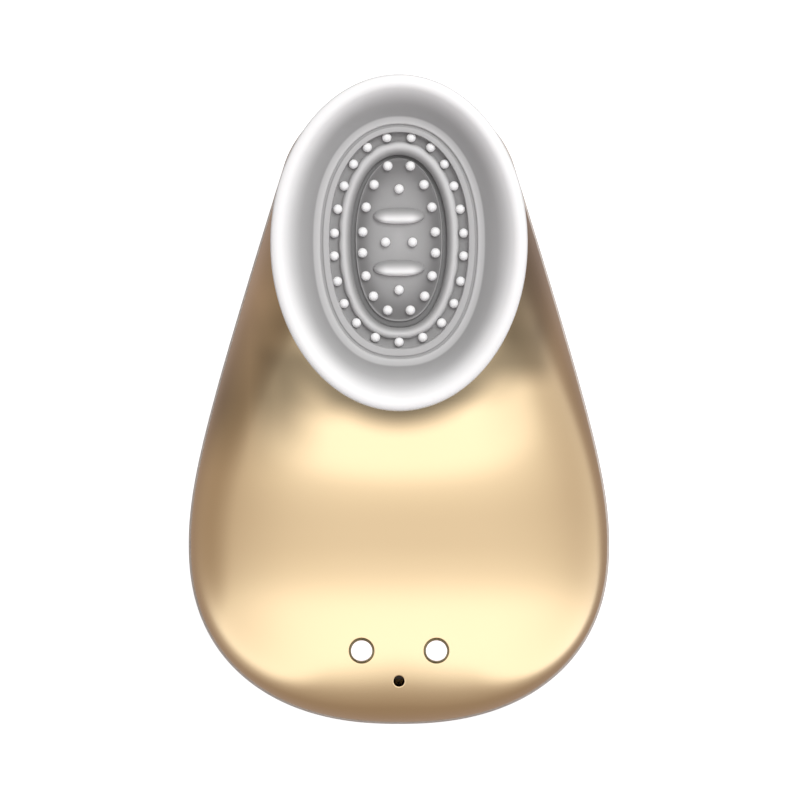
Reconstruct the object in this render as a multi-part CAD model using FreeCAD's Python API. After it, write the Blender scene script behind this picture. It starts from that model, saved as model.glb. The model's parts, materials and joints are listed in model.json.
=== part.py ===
import FreeCAD, Part
import math
import os

# A hand-held rechargeable massager: a hollow teardrop body with a soft oval cup at its narrow
# end. It lies on its back. +Z is the side with the cup, +Y runs to the head, +X to the right.
# The origin is on the resting plane, under the middle of the outline. Millimetres.

Vector = FreeCAD.Vector

# ---- Driving dimensions -------------------------------------------------------------------
# Body outline, seen from above
TAIL_Y = -49.6              # lower end of the shells
HEAD_Y = 48.2               # upper end of the shells
WIDEST_Y = -22.0
BODY_HALF_WIDTH = 32.1
TAIL_POWER = 2.3            # superellipse power of the broad end
TAPER = 0.32                # how fast the sides close towards the head
TAPER_EASE = 14.0           # length over which the taper sets in
HEAD_ROUND_Y = 36.0         # where the rounding of the head starts
HEAD_POWER = 2.2

# Body thickness
PARTING_Z = 15.0
WALL = 2.0
BELLY_HEIGHT = 18.9         # front surface above the seam, over the broad part
BELLY_TAIL_Y = -22.0
BELLY_POWER = 2.2
NECK_RISE = 15.3            # further rise of the front surface under the cup
RISE_FROM_Y = -13.2
RISE_TO_Y = 20.8
BROW_Y = 20.0               # where the front surface starts to close over the head
BROW_POWER = 4.0
BACK_DEPTH = 15.8           # rear surface below the seam, before the rest face is cut
BACK_TAIL_Y = -15.0
BACK_POWER = 2.2
NAPE_Y = -5.0               # where the rear surface starts to lift towards the head
NAPE_POWER = 1.9
SECTION_FULLNESS = 0.77     # conic weight of the cross section, 0.707 is an ellipse
STATIONS = 24

# Seam gasket
GASKET_HEIGHT = 1.2
GASKET_PROUD = 0.3

# Cup: ovals of half-width a and half-length OVAL_GAIN * a + OVAL_STRETCH, on a leaning axis
OVAL_GAIN = 1.02
OVAL_STRETCH = 5.7
RIM_Z = 50.0
RIM_Y = 24.0
LEAN = 0.12                 # shift of the oval towards the head per unit of depth
NECK_Z = 40.0               # flat land on which the cup stands
CUP_FLOOR_Z = 41.2          # underside of the cup's floor, below it the walls are upright
RIM_HALF_WIDTH = 19.7
NECK_HALF_WIDTH = 14.4
MOUTH_HALF_WIDTH = 12.0     # opening in the neck
PLUG_HALF_WIDTH = 11.7
PLUG_Z = 37.2
TROUGH_Z = 43.0
NUB_RADIUS = 0.72
OUTER_NUBS = 23
OUTER_NUB_HALF_WIDTH = 10.05

# Massage pad, the part of the cup that pulses
STROKE = 0.8
PAD_HALF_WIDTH = 7.25
PAD_Z = 42.5
PAD_BASE_Z = 40.9
PEG_Z = 36.9
RIDGE_LENGTH = 8.1
RIDGE_WIDTH = 2.2
INNER_NUB_OVAL = (5.65, 11.3)
INNER_NUBS = 16

# Voice-coil drive under the pad
SEAL_Z = 35.4
PLATE_Z = 33.0
PLATE_THICKNESS = 1.5
PLATE_RADIUS = 11.0
YOKE_RADIUS = 11.0
YOKE_BORE = 8.5
YOKE_TOP_Z = 28.5
MAGNET_RADIUS = 5.5
COIL_RADIUS = 7.8
BOBBIN_RADIUS = 6.6
BOBBIN_BORE = 6.1

# Chassis and boards
CHASSIS_Z = 14.5
CHASSIS_THICKNESS = 2.0
BOARD_Z = 18.0
BOARD_THICKNESS = 1.2
CHASSIS_INSET = 4.0
HOOK_Y = (-20.0, 6.0)
HOOK_LENGTH = 6.0
CHASSIS_SCREWS = ((22.0, -27.0), (21.0, -4.0), (11.0, 33.0))
BOARD_SCREWS = ((15.0, -12.0), (12.0, -33.0))

# Vibration motor, its shaft along X
MOTOR_Y = 3.5
MOTOR_Z = 22.5
MOTOR_RADIUS = 4.5
CLAMP_SCREWS = ((-1.0, MOTOR_Y - 6.6), (-1.0, MOTOR_Y + 6.6))

# Battery
BATTERY_SIZE = (34.0, 28.0, 8.0)
BATTERY_CENTRE = (0.0, -19.0, 8.6)

# Charging contacts and indicator
CONTACT_X = 5.75
CONTACT_Y = -38.5
CONTACT_RADIUS = 1.65
CONTACT_HOLE_RADIUS = 1.95
CONTACT_PROUD = 0.15
SEAL_FLANGE_TOP = 28.4
LAMP_Y = -43.2
LAMP_RADIUS = 0.85

# Push buttons on the back
BUTTON_Y = {"power_button": 34.5, "mode_button": 24.0}
BUTTON_RADIUS = 3.5
BUTTON_GUIDE_RADIUS = 5.2
BUTTON_STOP_Z = 8.5
BUTTON_PROUD = 0.5
BUTTON_GAP = 0.3

FRONT_Z = PARTING_Z + GASKET_HEIGHT / 2
BACK_Z = PARTING_Z - GASKET_HEIGHT / 2
CHASSIS_TOP = CHASSIS_Z + CHASSIS_THICKNESS
BOARD_TOP = BOARD_Z + BOARD_THICKNESS
DRIVE_Y = RIM_Y + LEAN * (RIM_Z - CUP_FLOOR_Z)
FAR = 200.0


# ---- Plain solids --------------------------------------------------------------------------
def box(x0, x1, y0, y1, z0, z1):
    return Part.makeBox(x1 - x0, y1 - y0, z1 - z0, Vector(x0, y0, z0))


def post(x, y, z0, z1, radius):
    return Part.makeCylinder(radius, z1 - z0, Vector(x, y, z0))


def rod(x0, x1, y, z, radius):
    return Part.makeCylinder(radius, x1 - x0, Vector(x0, y, z), Vector(1, 0, 0))


def ring(x, y, z0, z1, inner, outer):
    return post(x, y, z0, z1, outer).cut(post(x, y, z0, z1, inner))


def fuse(solids):
    return solids[0].multiFuse(solids[1:]).removeSplitter() if len(solids) > 1 else solids[0]


def below(z):
    return box(-FAR, FAR, -FAR, FAR, -FAR, z)


def above(z):
    return box(-FAR, FAR, -FAR, FAR, z, FAR)


def both_sides(places):
    return [(side * x, y) for x, y in places for side in (-1, 1)]


# ---- Body form -----------------------------------------------------------------------------
def superellipse(t, power):
    t = min(max(t, 0.0), 1.0)
    return (1.0 - t ** power) ** (1.0 / power)


def half_width(y, inset):
    wide = BODY_HALF_WIDTH - inset
    tail = superellipse((WIDEST_Y - y) / (WIDEST_Y - TAIL_Y - inset), TAIL_POWER)
    past = max(y - WIDEST_Y, 0.0)
    taper = TAPER * (math.hypot(past, TAPER_EASE) - TAPER_EASE)
    head = superellipse((y - HEAD_ROUND_Y) / (HEAD_Y - inset - HEAD_ROUND_Y), HEAD_POWER)
    return (wide - taper) * tail * head


def front_height(y, inset):
    tail = superellipse((BELLY_TAIL_Y - y) / (BELLY_TAIL_Y - TAIL_Y - inset), BELLY_POWER)
    s = min(max((y - RISE_FROM_Y) / (RISE_TO_Y - RISE_FROM_Y), 0.0), 1.0)
    rise = NECK_RISE * s * s * (3.0 - 2.0 * s)
    head = superellipse((y - BROW_Y) / (HEAD_Y - inset - BROW_Y), BROW_POWER)
    return (BELLY_HEIGHT - inset + rise) * tail * head


def back_depth(y, inset):
    tail = superellipse((BACK_TAIL_Y - y) / (BACK_TAIL_Y - TAIL_Y - inset), BACK_POWER)
    head = superellipse((y - NAPE_Y) / (HEAD_Y - inset - NAPE_Y), NAPE_POWER)
    return (BACK_DEPTH - inset) * tail * head


def stations(inset):
    middle = (HEAD_Y + TAIL_Y) / 2
    reach = (HEAD_Y - TAIL_Y) / 2 - inset
    return [middle - reach * math.cos(math.pi * i / STATIONS) for i in range(STATIONS + 1)]


def spline(points, start=None, end=None):
    curve = Part.BSplineCurve()
    if start is None:
        curve.interpolate(points)
    else:
        curve.interpolate(Points=points, InitialTangent=start, FinalTangent=end)
    return curve


def section_curve():
    """Half a cross section, from (1, 0) over (0, 1) to (-1, 0), as two conics."""
    poles = [Vector(1, 0), Vector(1, 1), Vector(0, 1), Vector(-1, 1), Vector(-1, 0)]
    weights = [1.0, SECTION_FULLNESS, 1.0, SECTION_FULLNESS, 1.0]
    curve = Part.BSplineCurve()
    curve.buildFromPolesMultsKnots(poles, [3, 2, 3], [0.0, 0.5, 1.0], False, 2, weights)
    return curve


def product_surface(along, across, place):
    """Surface of the poles place(p, q), p from the curve along and q from the curve across."""
    poles = [[place(p, q) for q in across.getPoles()] for p in along.getPoles()]
    weights = [[v * w for w in across.getWeights()] for v in along.getWeights()]
    surface = Part.BSplineSurface()
    surface.buildFromPolesMultsKnots(
        poles, along.getMultiplicities(), across.getMultiplicities(),
        along.getKnots(), across.getKnots(), False, False,
        along.Degree, across.Degree, weights)
    return surface


def solid_of(faces):
    shell = Part.makeShell(faces)
    shell.sewShape()
    solid = Part.makeSolid(shell)
    if solid.Volume < 0:
        solid.reverse()
    return solid


def half_body(height, seam_z, up, inset):
    """One side of the body: the outer form, drawn in by inset, closed by the seam plane."""
    points = [Vector(half_width(y, inset), y, height(y, inset)) for y in stations(inset)]
    start = Vector(points[1].x, 0, points[1].z)
    end = Vector(-points[-2].x, 0, -points[-2].z)
    profile = spline(points, start, end)
    surface = product_surface(profile, section_curve(),
                              lambda p, q: Vector(p.x * q.x, p.y, seam_z + up * p.z * q.y))
    sides = [surface.vIso(0.0).toShape(), surface.vIso(1.0).toShape()]
    lid = Part.Face(Part.Wire(sides))
    return solid_of([surface.toShape(), lid])


def front_form(inset):
    return half_body(front_height, FRONT_Z, 1, inset)


def back_form(inset):
    return half_body(back_depth, BACK_Z, -1, inset)


def outline_plate(inset, z0, z1):
    """A flat plate with the body's outline, drawn in by inset."""
    ys = stations(inset)
    right = [Vector(half_width(y, inset), y, z0) for y in ys]
    left = [Vector(-p.x, p.y, z0) for p in reversed(right[1:-1])]
    curve = Part.BSplineCurve()
    curve.interpolate(Points=right + left, PeriodicFlag=True)
    return Part.Face(Part.Wire(curve.toShape())).extrude(Vector(0, 0, z1 - z0))


# ---- Ovals of the cup ----------------------------------------------------------------------
def oval_length(a):
    return OVAL_GAIN * a + OVAL_STRETCH


def oval_y(z):
    return RIM_Y + LEAN * (RIM_Z - max(z, CUP_FLOOR_Z))


def oval_wire(a, y, z, length=None):
    b = length or oval_length(a)
    centre = Vector(0, y, z)
    return Part.Wire(Part.Ellipse(centre + Vector(0, b, 0), centre + Vector(a, 0, 0), centre).toShape())


def oval_prism(a, z0, z1, y=DRIVE_Y, top=None):
    """An upright oval block, drawn in to the half-width top at its upper face."""
    return Part.makeLoft([oval_wire(a, y, z0), oval_wire(top or a, y, z1)], True, True)


def oval_ring(inner, outer, z0, z1):
    return oval_prism(outer, z0, z1).cut(oval_prism(inner, z0, z1))


def line(a0, z0, a1, z1):
    return Part.LineSegment(Vector(a0, z0, 0), Vector(a1, z1, 0)).toBSpline()


def lines(points):
    return [line(*p, *q) for p, q in zip(points, points[1:])]


def curve_through(points, start, end):
    return spline([Vector(a, z, 0) for a, z in points], Vector(*start, 0), Vector(*end, 0))


def oval_sweep(profile):
    """A ring whose closed profile of half-width and height runs round the leaning oval."""
    faces = []
    for first in (0, math.pi):
        half = Part.ArcOfCircle(Part.Circle(), first, first + math.pi).toBSpline()
        for curve in profile:
            surface = product_surface(
                curve, half,
                lambda p, q: Vector(p.x * q.x, oval_y(p.y) + oval_length(p.x) * q.y, p.y))
            faces.append(surface.toShape())
    return solid_of(faces)


def oval_places(count, a, b, y, offset):
    """Points evenly spaced along an oval, the first one offset steps past its lower end."""
    steps = 720
    ring_points = []
    for i in range(steps + 1):
        turn = 2 * math.pi * i / steps
        ring_points.append((a * math.sin(turn), y - b * math.cos(turn)))
    run = [0.0]
    for p, q in zip(ring_points, ring_points[1:]):
        run.append(run[-1] + math.dist(p, q))
    places = []
    for k in range(count):
        target = run[-1] * (k + offset) / count
        index = next(i for i, length in enumerate(run) if length >= target)
        places.append(ring_points[index])
    return places


def nub(x, y, z):
    """A round-topped pimple standing on a floor at z."""
    sink = 0.3
    ball = Part.makeSphere(NUB_RADIUS, Vector(x, y, z + NUB_RADIUS * 0.6))
    return ball.cut(box(x - 1, x + 1, y - 1, y + 1, z - 1, z - sink))


# ---- Housing -------------------------------------------------------------------------------
def contact_hole(side):
    return post(side * CONTACT_X, CONTACT_Y, BOARD_TOP, FAR, CONTACT_HOLE_RADIUS)


def hook_edge(y):
    """Inner face of the snap hook at y, just outside the notched edge of the chassis."""
    return half_width(y + HOOK_LENGTH / 2, CHASSIS_INSET) + 0.4


def snap_hooks():
    """Hooks inside the front shell that catch the edge of the chassis."""
    hooks = []
    for y in HOOK_Y:
        edge = hook_edge(y)
        y0 = y - HOOK_LENGTH / 2
        y1 = y + HOOK_LENGTH / 2
        arm = box(edge, edge + 1.1, y0, y1, CHASSIS_Z - 1.6, FRONT_Z + 5)
        barb = box(edge - 1.2, edge + 1.1, y0, y1, CHASSIS_Z - 1.6, CHASSIS_Z)
        hook = arm.fuse(barb)
        hooks += [hook, hook.mirror(Vector(0, 0, 0), Vector(1, 0, 0))]
    return hooks


def front_shell():
    roof_z = PLUG_Z - 0.2
    outer = front_form(0.0).common(below(NECK_Z))
    inside = front_form(WALL)
    cavity = inside.common(below(roof_z)).fuse(oval_prism(12.6, 33.5, roof_z))
    shell = outer.cut(cavity)
    shell = shell.cut(oval_prism(MOUTH_HALF_WIDTH, roof_z - 1, NECK_Z + 1))
    ceiling = [post(side * CONTACT_X, CONTACT_Y, SEAL_FLANGE_TOP, FAR, 3.4) for side in (-1, 1)]
    lamp_boss = post(0, LAMP_Y, 23.0, FAR, 2.2)
    bosses = fuse(ceiling + [lamp_boss]).common(inside)
    hooks = fuse(snap_hooks()).common(front_form(0.5).fuse(below(FRONT_Z)))
    pockets = [post(side * CONTACT_X, CONTACT_Y, BOARD_TOP, SEAL_FLANGE_TOP, 3.1) for side in (-1, 1)]
    shell = shell.fuse(bosses).fuse(hooks).cut(fuse(pockets))
    for side in (-1, 1):
        shell = shell.cut(contact_hole(side))
    return shell.cut(post(0, LAMP_Y, BOARD_TOP, FAR, LAMP_RADIUS))


def screw_posts():
    return [post(x, y, 1.0, CHASSIS_Z, 2.8) for x, y in both_sides(CHASSIS_SCREWS)]


def rear_shell():
    outer = back_form(0.0).common(above(0.0))
    inside = back_form(WALL).common(above(WALL))
    shell = outer.cut(inside)
    guides = [post(0, y, 0.5, BUTTON_STOP_Z, BUTTON_GUIDE_RADIUS) for y in BUTTON_Y.values()]
    ribs = [box(-19.5, 19.5, y, y + 1.2, 1.0, 7.0) for y in (-34.4, -4.8)]
    shell = shell.fuse(fuse(screw_posts() + guides + ribs).common(outer))
    for x, y in both_sides(CHASSIS_SCREWS):
        shell = shell.cut(post(x, y, CHASSIS_Z - 6, CHASSIS_Z, 0.9))
    for y in BUTTON_Y.values():
        shell = shell.cut(post(0, y, -1, FAR, BUTTON_RADIUS + BUTTON_GAP))
    return shell


def seam_gasket():
    return outline_plate(-GASKET_PROUD, BACK_Z, FRONT_Z).cut(outline_plate(WALL, BACK_Z, FRONT_Z))


# ---- Cup, pad and bellows ------------------------------------------------------------------
def cup_profile():
    wall = curve_through([(14.9, 41.2), (16.6, 44.2), (18.5, 47.0), (RIM_HALF_WIDTH, 49.2)],
                         (0.7, 1.2), (0.1, 1.0))
    funnel = curve_through([(RIM_HALF_WIDTH, 49.2), (18.7, RIM_Z), (17.2, 49.1), (15.1, 46.6), (13.2, 44.9)],
                           (0.0, 1.2), (-1.6, -0.7))
    roll = curve_through([(9.3, TROUGH_Z), (8.55, 44.2), (7.75, 43.1)], (0.0, 1.6), (0.0, -1.6))
    ledges = [(13.2, 44.9), (12.2, 44.85), (12.1, 44.15), (11.85, 44.15), (11.75, 44.5),
              (10.95, 44.45), (10.85, TROUGH_Z), (9.3, TROUGH_Z)]
    under = [(7.75, 43.1), (7.6, 42.4), (7.6, CUP_FLOOR_Z), (8.1, CUP_FLOOR_Z), (8.1, 38.0),
             (6.5, 38.0), (6.5, PLUG_Z), (8.9, PLUG_Z), (8.9, CUP_FLOOR_Z), (10.3, CUP_FLOOR_Z),
             (10.3, PLUG_Z), (PLUG_HALF_WIDTH, PLUG_Z), (PLUG_HALF_WIDTH, NECK_Z),
             (NECK_HALF_WIDTH - 0.2, NECK_Z), (14.9, CUP_FLOOR_Z)]
    return [wall, funnel] + lines(ledges) + [roll] + lines(under)


def outer_nub_places():
    a = OUTER_NUB_HALF_WIDTH
    return oval_places(OUTER_NUBS, a, oval_length(a), oval_y(TROUGH_Z), 0.0)


def massage_cup():
    nubs = [nub(x, y, TROUGH_Z) for x, y in outer_nub_places()]
    return oval_sweep(cup_profile()).multiFuse(nubs)


def inner_nub_places():
    a, b = INNER_NUB_OVAL
    around = oval_places(INNER_NUBS, a, b, DRIVE_Y, 0.5)
    return around + [(0.0, DRIVE_Y + 7.7), (-2.1, DRIVE_Y - 0.7), (2.1, DRIVE_Y - 0.7), (0.0, DRIVE_Y - 8.0)]


def ridge(y):
    """A lens-shaped rib across the pad."""
    sag = RIDGE_WIDTH / 2
    radius = (RIDGE_LENGTH ** 2 / 4 + sag ** 2) / (2 * sag)
    height = 1.6
    base = post(0, y + radius - sag, PAD_Z - 0.3, PAD_Z + height, radius)
    base = base.common(post(0, y - radius + sag, PAD_Z - 0.3, PAD_Z + height, radius))
    crown_radius = (RIDGE_LENGTH ** 2 / 4 + height ** 2) / (2 * height)
    centre = Vector(0, y - 2, PAD_Z + height - crown_radius)
    return base.common(Part.makeCylinder(crown_radius, 4, centre, Vector(0, 1, 0)))


def massage_pad():
    plate = oval_prism(PAD_HALF_WIDTH, PAD_BASE_Z, 41.9)
    floor = oval_prism(6.75, 41.9, PAD_Z)
    lip = oval_prism(6.75, PAD_Z, PAD_Z + 0.25, top=6.55).cut(oval_prism(6.35, PAD_Z, PAD_Z + 0.25))
    peg = oval_prism(4.4, PEG_Z, PAD_BASE_Z)
    ridges = [ridge(DRIVE_Y + 3.2), ridge(DRIVE_Y - 4.8)]
    nubs = [nub(x, y, PAD_Z) for x, y in inner_nub_places()]
    return plate.multiFuse([floor, lip, peg] + ridges + nubs)


def pad_bellows():
    """Thin folded sleeve from the foot of the cup up to the pad."""
    middle = (38.0 + PAD_BASE_Z) / 2
    thick = 0.4
    shape = [(7.2, 38.0), (6.7, middle), (7.2, PAD_BASE_Z)]
    outer = Part.makeLoft([oval_wire(a, DRIVE_Y, z) for a, z in shape], True, True)
    inner = Part.makeLoft([oval_wire(a - thick, DRIVE_Y, z) for a, z in shape], True, True)
    return outer.cut(inner)


# ---- Drive ---------------------------------------------------------------------------------
def latch_ring():
    return oval_ring(9.8, 12.4, SEAL_Z + 0.3, PLUG_Z - 0.2)


def drive_seal():
    return oval_prism(12.4, SEAL_Z, SEAL_Z + 0.3).cut(post(0, DRIVE_Y, SEAL_Z - 1, SEAL_Z + 1, 4.3))


def drive_plate():
    plate = post(0, DRIVE_Y, PLATE_Z, PLATE_Z + PLATE_THICKNESS, PLATE_RADIUS)
    windows = [post(8.2 * math.cos(t), DRIVE_Y + 8.2 * math.sin(t), PLATE_Z, PLATE_Z + 2, 1.2)
               for t in (math.pi * k / 3 for k in range(6))]
    boss = post(0, DRIVE_Y, PLATE_Z + PLATE_THICKNESS, PEG_Z, 4.0)
    return plate.cut(fuse(windows)).fuse(boss)


def coil_bobbin():
    tube = ring(0, DRIVE_Y, 21.5, PLATE_Z, BOBBIN_BORE, BOBBIN_RADIUS)
    web = post(0, DRIVE_Y, PLATE_Z - 1.3, PLATE_Z, BOBBIN_BORE)
    lips = [ring(0, DRIVE_Y, z, z + 0.6, BOBBIN_BORE, COIL_RADIUS) for z in (21.5, 29.0)]
    return fuse([tube, web] + lips)


def drive_coil():
    return ring(0, DRIVE_Y, 22.1, 29.0, BOBBIN_RADIUS, COIL_RADIUS - 0.1)


def drive_yoke():
    cup = ring(0, DRIVE_Y, CHASSIS_TOP, YOKE_TOP_Z, YOKE_BORE, YOKE_RADIUS)
    floor = post(0, DRIVE_Y, CHASSIS_TOP, CHASSIS_TOP + 2, YOKE_BORE)
    slot = box(-3, 3, DRIVE_Y - YOKE_RADIUS - 1, DRIVE_Y - YOKE_BORE + 0.5, YOKE_TOP_Z - 6, YOKE_TOP_Z - 1.5)
    return cup.fuse(floor).removeSplitter().cut(slot)


def drive_magnet():
    return post(0, DRIVE_Y, CHASSIS_TOP + 2, YOKE_TOP_Z - 3, MAGNET_RADIUS)


def pole_piece():
    return post(0, DRIVE_Y, YOKE_TOP_Z - 3, YOKE_TOP_Z, MAGNET_RADIUS + 0.2)


def helix_spring(x, y, z0, z1, radius, wire, turns):
    """A compression spring whose end coils are cut flat."""
    path = Part.makeHelix((z1 - z0 - wire) / turns, z1 - z0 - wire, radius)
    start = Vector(radius, 0, 0)
    circle = Part.Wire(Part.Circle(start, Vector(0, 1, 0), wire / 2).toShape())
    coil = Part.Wire(path).makePipeShell([circle], True, True)
    coil.translate(Vector(x, y, z0 + wire / 2))
    return coil


def return_spring():
    return helix_spring(0, DRIVE_Y, YOKE_TOP_Z, PLATE_Z, 9.7, 0.8, 3)


# ---- Chassis and boards --------------------------------------------------------------------
def chassis():
    plate = outline_plate(CHASSIS_INSET, CHASSIS_Z, CHASSIS_TOP)
    windows = [box(-12, 12, -32, -8, CHASSIS_Z, CHASSIS_TOP), box(-5, 5, -43, -38, CHASSIS_Z, CHASSIS_TOP)]
    collar = ring(0, DRIVE_Y, CHASSIS_TOP, CHASSIS_TOP + 2.5, YOKE_RADIUS + 0.05, YOKE_RADIUS + 1.4)
    standoffs = [post(x, y, CHASSIS_TOP, BOARD_Z, 2.0) for x, y in both_sides(BOARD_SCREWS)]
    plate = fuse([plate.cut(fuse(windows)), collar] + standoffs)
    for x, y in both_sides(CHASSIS_SCREWS):
        plate = plate.cut(post(x, y, CHASSIS_Z, CHASSIS_TOP, 1.15))
        plate = plate.cut(post(x, y, CHASSIS_TOP, FAR, 2.3))
    for x, y in both_sides(BOARD_SCREWS):
        plate = plate.cut(post(x, y, CHASSIS_Z, FAR, 0.8))
    for y in HOOK_Y:
        reach = hook_edge(y) - 0.1
        half = HOOK_LENGTH / 2 + 0.3
        notch = box(reach, reach + 5, y - half, y + half, CHASSIS_Z, CHASSIS_TOP)
        plate = plate.cut(notch).cut(notch.mirror(Vector(0, 0, 0), Vector(1, 0, 0)))
    return plate


def screws(places, top, length, shank, head):
    """Pan-head screws with a cross recess, their heads standing on top."""
    made = []
    for x, y in places:
        screw = post(x, y, top - length, top, shank).fuse(post(x, y, top, top + 1.1, head))
        for dx, dy in ((1.1, 0.25), (0.25, 1.1)):
            screw = screw.cut(box(x - dx, x + dx, y - dy, y + dy, top + 0.6, top + 2))
        made.append(screw)
    return Part.makeCompound(made)


def chassis_screws():
    return screws(both_sides(CHASSIS_SCREWS), CHASSIS_TOP, 7.0, 0.9, 2.0)


def board_screws():
    return screws(both_sides(BOARD_SCREWS), BOARD_TOP, 4.2, 0.8, 1.7)


def main_board():
    board = outline_plate(4.8, BOARD_Z, BOARD_TOP).common(box(-FAR, FAR, -FAR, -6.0, 0, FAR))
    for x, y in both_sides(BOARD_SCREWS):
        board = board.cut(post(x, y, BOARD_Z, BOARD_TOP, 0.8))
    return board


def board_components():
    """Controller, charger, inductor, drive stage, capacitors, sockets and lamp."""
    sizes = [(0, -24, 7, 7, 1.0), (-10, -24, 4, 4, 0.9), (9, -25, 5, 5, 2.4), (-8, -16, 5, 4, 1.4),
             (7, -16, 3.2, 1.6, 1.2), (7, -13, 3.2, 1.6, 1.2), (-6, -31, 2.4, 1.4, 1.0),
             (6, -31, 2.4, 1.4, 1.0), (-20, -20, 4, 6, 3.0), (20, -20, 4, 6, 3.0),
             (0, -9, 6, 3, 3.0), (0, LAMP_Y, 1.2, 1.6, 0.7)]
    return Part.makeCompound([
        box(x - w / 2, x + w / 2, y - d / 2, y + d / 2, BOARD_TOP, BOARD_TOP + h)
        for x, y, w, d, h in sizes])


def battery():
    w, d, h = BATTERY_SIZE
    x, y, z = BATTERY_CENTRE
    cell = box(x - w / 2, x + w / 2, y - d / 2, y + d / 2, z - h / 2, z + h / 2)
    return cell.makeFillet(2.0, [e for e in cell.Edges if abs(e.Vertexes[0].X - e.Vertexes[1].X) > 1])


def battery_pad():
    x, y, z = BATTERY_CENTRE
    return box(x - 12, x + 12, y - 5, y + 11, WALL, z - BATTERY_SIZE[2] / 2)


# ---- Vibration motor -----------------------------------------------------------------------
def motor_can():
    can = rod(-10, 8, MOTOR_Y, MOTOR_Z, MOTOR_RADIUS)
    can = can.fuse(rod(8, 8.8, MOTOR_Y, MOTOR_Z, 1.6)).fuse(rod(-10.8, -10, MOTOR_Y, MOTOR_Z, 1.6))
    return can.cut(rod(-4, 9, MOTOR_Y, MOTOR_Z, 0.82))


def motor_rotor():
    shaft = rod(-3.8, 13.6, MOTOR_Y, MOTOR_Z, 0.75)
    weight = rod(9.2, 13.2, MOTOR_Y, MOTOR_Z, 4.2)
    weight = weight.cut(box(9, 14, MOTOR_Y - 5, MOTOR_Y + 5, MOTOR_Z - 0.9, MOTOR_Z + 5))
    hub = rod(9.2, 13.2, MOTOR_Y, MOTOR_Z, 1.7)
    return fuse([shaft, weight, hub])


def motor_bracket():
    block = box(-7, 5, MOTOR_Y - 8, MOTOR_Y + 8, CHASSIS_TOP, MOTOR_Z)
    block = block.cut(rod(-8, 6, MOTOR_Y, MOTOR_Z, MOTOR_RADIUS))
    for x, y in CLAMP_SCREWS:
        block = block.cut(post(x, y, MOTOR_Z - 4, MOTOR_Z, 0.7))
    return block


def motor_clamp():
    """A sheet-metal strap over the motor with an ear on each side."""
    top = MOTOR_Z + 0.6
    arch = rod(-3, 1, MOTOR_Y, MOTOR_Z, MOTOR_RADIUS + 0.6).cut(below(MOTOR_Z))
    ears = box(-3, 1, MOTOR_Y - 8, MOTOR_Y + 8, MOTOR_Z, top)
    strap = arch.fuse(ears).cut(rod(-4, 2, MOTOR_Y, MOTOR_Z, MOTOR_RADIUS))
    for x, y in CLAMP_SCREWS:
        strap = strap.cut(post(x, y, MOTOR_Z, top, 0.8))
    return strap


def clamp_screws():
    return screws(CLAMP_SCREWS, MOTOR_Z + 0.6, 4.0, 0.7, 1.2)


# ---- Wires ---------------------------------------------------------------------------------
def wire(points, radius):
    """A round wire of straight runs joined by tangent arcs."""
    route = [Vector(*p) for p in points]
    edges = []
    last = route[0]
    for before, corner, after in zip(route, route[1:], route[2:]):
        come = (before - corner).normalize()
        leave = (after - corner).normalize()
        cut = 0.45 * min(before.distanceToPoint(corner), after.distanceToPoint(corner))
        middle_way = (come + leave).normalize()
        half_turn = come.getAngle(leave) / 2
        bend = cut * math.tan(half_turn)
        reach = cut / math.cos(half_turn) - bend
        start = corner + come * cut
        end = corner + leave * cut
        edges.append(Part.LineSegment(last, start).toShape())
        edges.append(Part.Arc(start, corner + middle_way * reach, end).toShape())
        last = end
    edges.append(Part.LineSegment(last, route[-1]).toShape())
    path = Part.Wire(edges)
    circle = Part.Wire(Part.Circle(route[0], route[1] - route[0], radius).toShape())
    return path.makePipeShell([circle], True, True)


def lead_pair(routes):
    return Part.makeCompound([wire(points, 0.45) for points in routes])


def battery_leads():
    """From the end of the cell back over its top and up to the underside of the board."""
    end = BATTERY_CENTRE[1] + BATTERY_SIZE[1] / 2
    top = BATTERY_CENTRE[2] + BATTERY_SIZE[2] / 2
    over = (top + CHASSIS_Z) / 2
    return lead_pair([[(x, end, top - 2.4), (x, end + 2.2, top - 2.4), (x, end + 2.2, over),
                       (x, end - 5.2, over), (x, end - 5.2, BOARD_Z)]
                      for x in (-4.2, 4.2)])


def motor_leads():
    return lead_pair([[(-10.8, y, z), (-13.0, y, z), (-15.0, y - 3.5, z), (-17.0, y - 11.0, z - 0.6),
                       (-19.4 + shift, -16.9, BOARD_TOP + 1.6)]
                      for y, z, shift in ((MOTOR_Y - 0.9, MOTOR_Z, 0.0), (MOTOR_Y + 0.9, MOTOR_Z, -1.3))])


def coil_leads():
    y0 = DRIVE_Y - YOKE_RADIUS
    return lead_pair([[(x, y0, YOKE_TOP_Z - 3), (x * 3, y0 - 1.8, YOKE_TOP_Z - 3),
                       (14.4 + x, y0 - 6.5, 25.0), (17.4 + x, -2.0, 23.5), (19.4 + x, -16.9, BOARD_TOP + 1.6)]
                      for x in (0.6, 1.9)])


# ---- Charging contacts and indicator -------------------------------------------------------
def charge_contact(side):
    x = side * CONTACT_X
    head = post(x, CONTACT_Y, 26.6, FAR, CONTACT_RADIUS).common(front_form(-CONTACT_PROUD))
    flange = post(x, CONTACT_Y, 26.0, 27.2, 2.4)
    stem = post(x, CONTACT_Y, BOARD_TOP, 26.0, 0.9)
    return fuse([head, flange, stem])


def contact_seals():
    made = []
    for side in (-1, 1):
        x = side * CONTACT_X
        sleeve = post(x, CONTACT_Y, 27.2, FAR, CONTACT_HOLE_RADIUS).common(front_form(0.5))
        flange = post(x, CONTACT_Y, 27.2, SEAL_FLANGE_TOP, 3.0)
        made.append(sleeve.fuse(flange).cut(post(x, CONTACT_Y, 27.2, FAR, CONTACT_RADIUS)))
    return Part.makeCompound(made)


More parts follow.
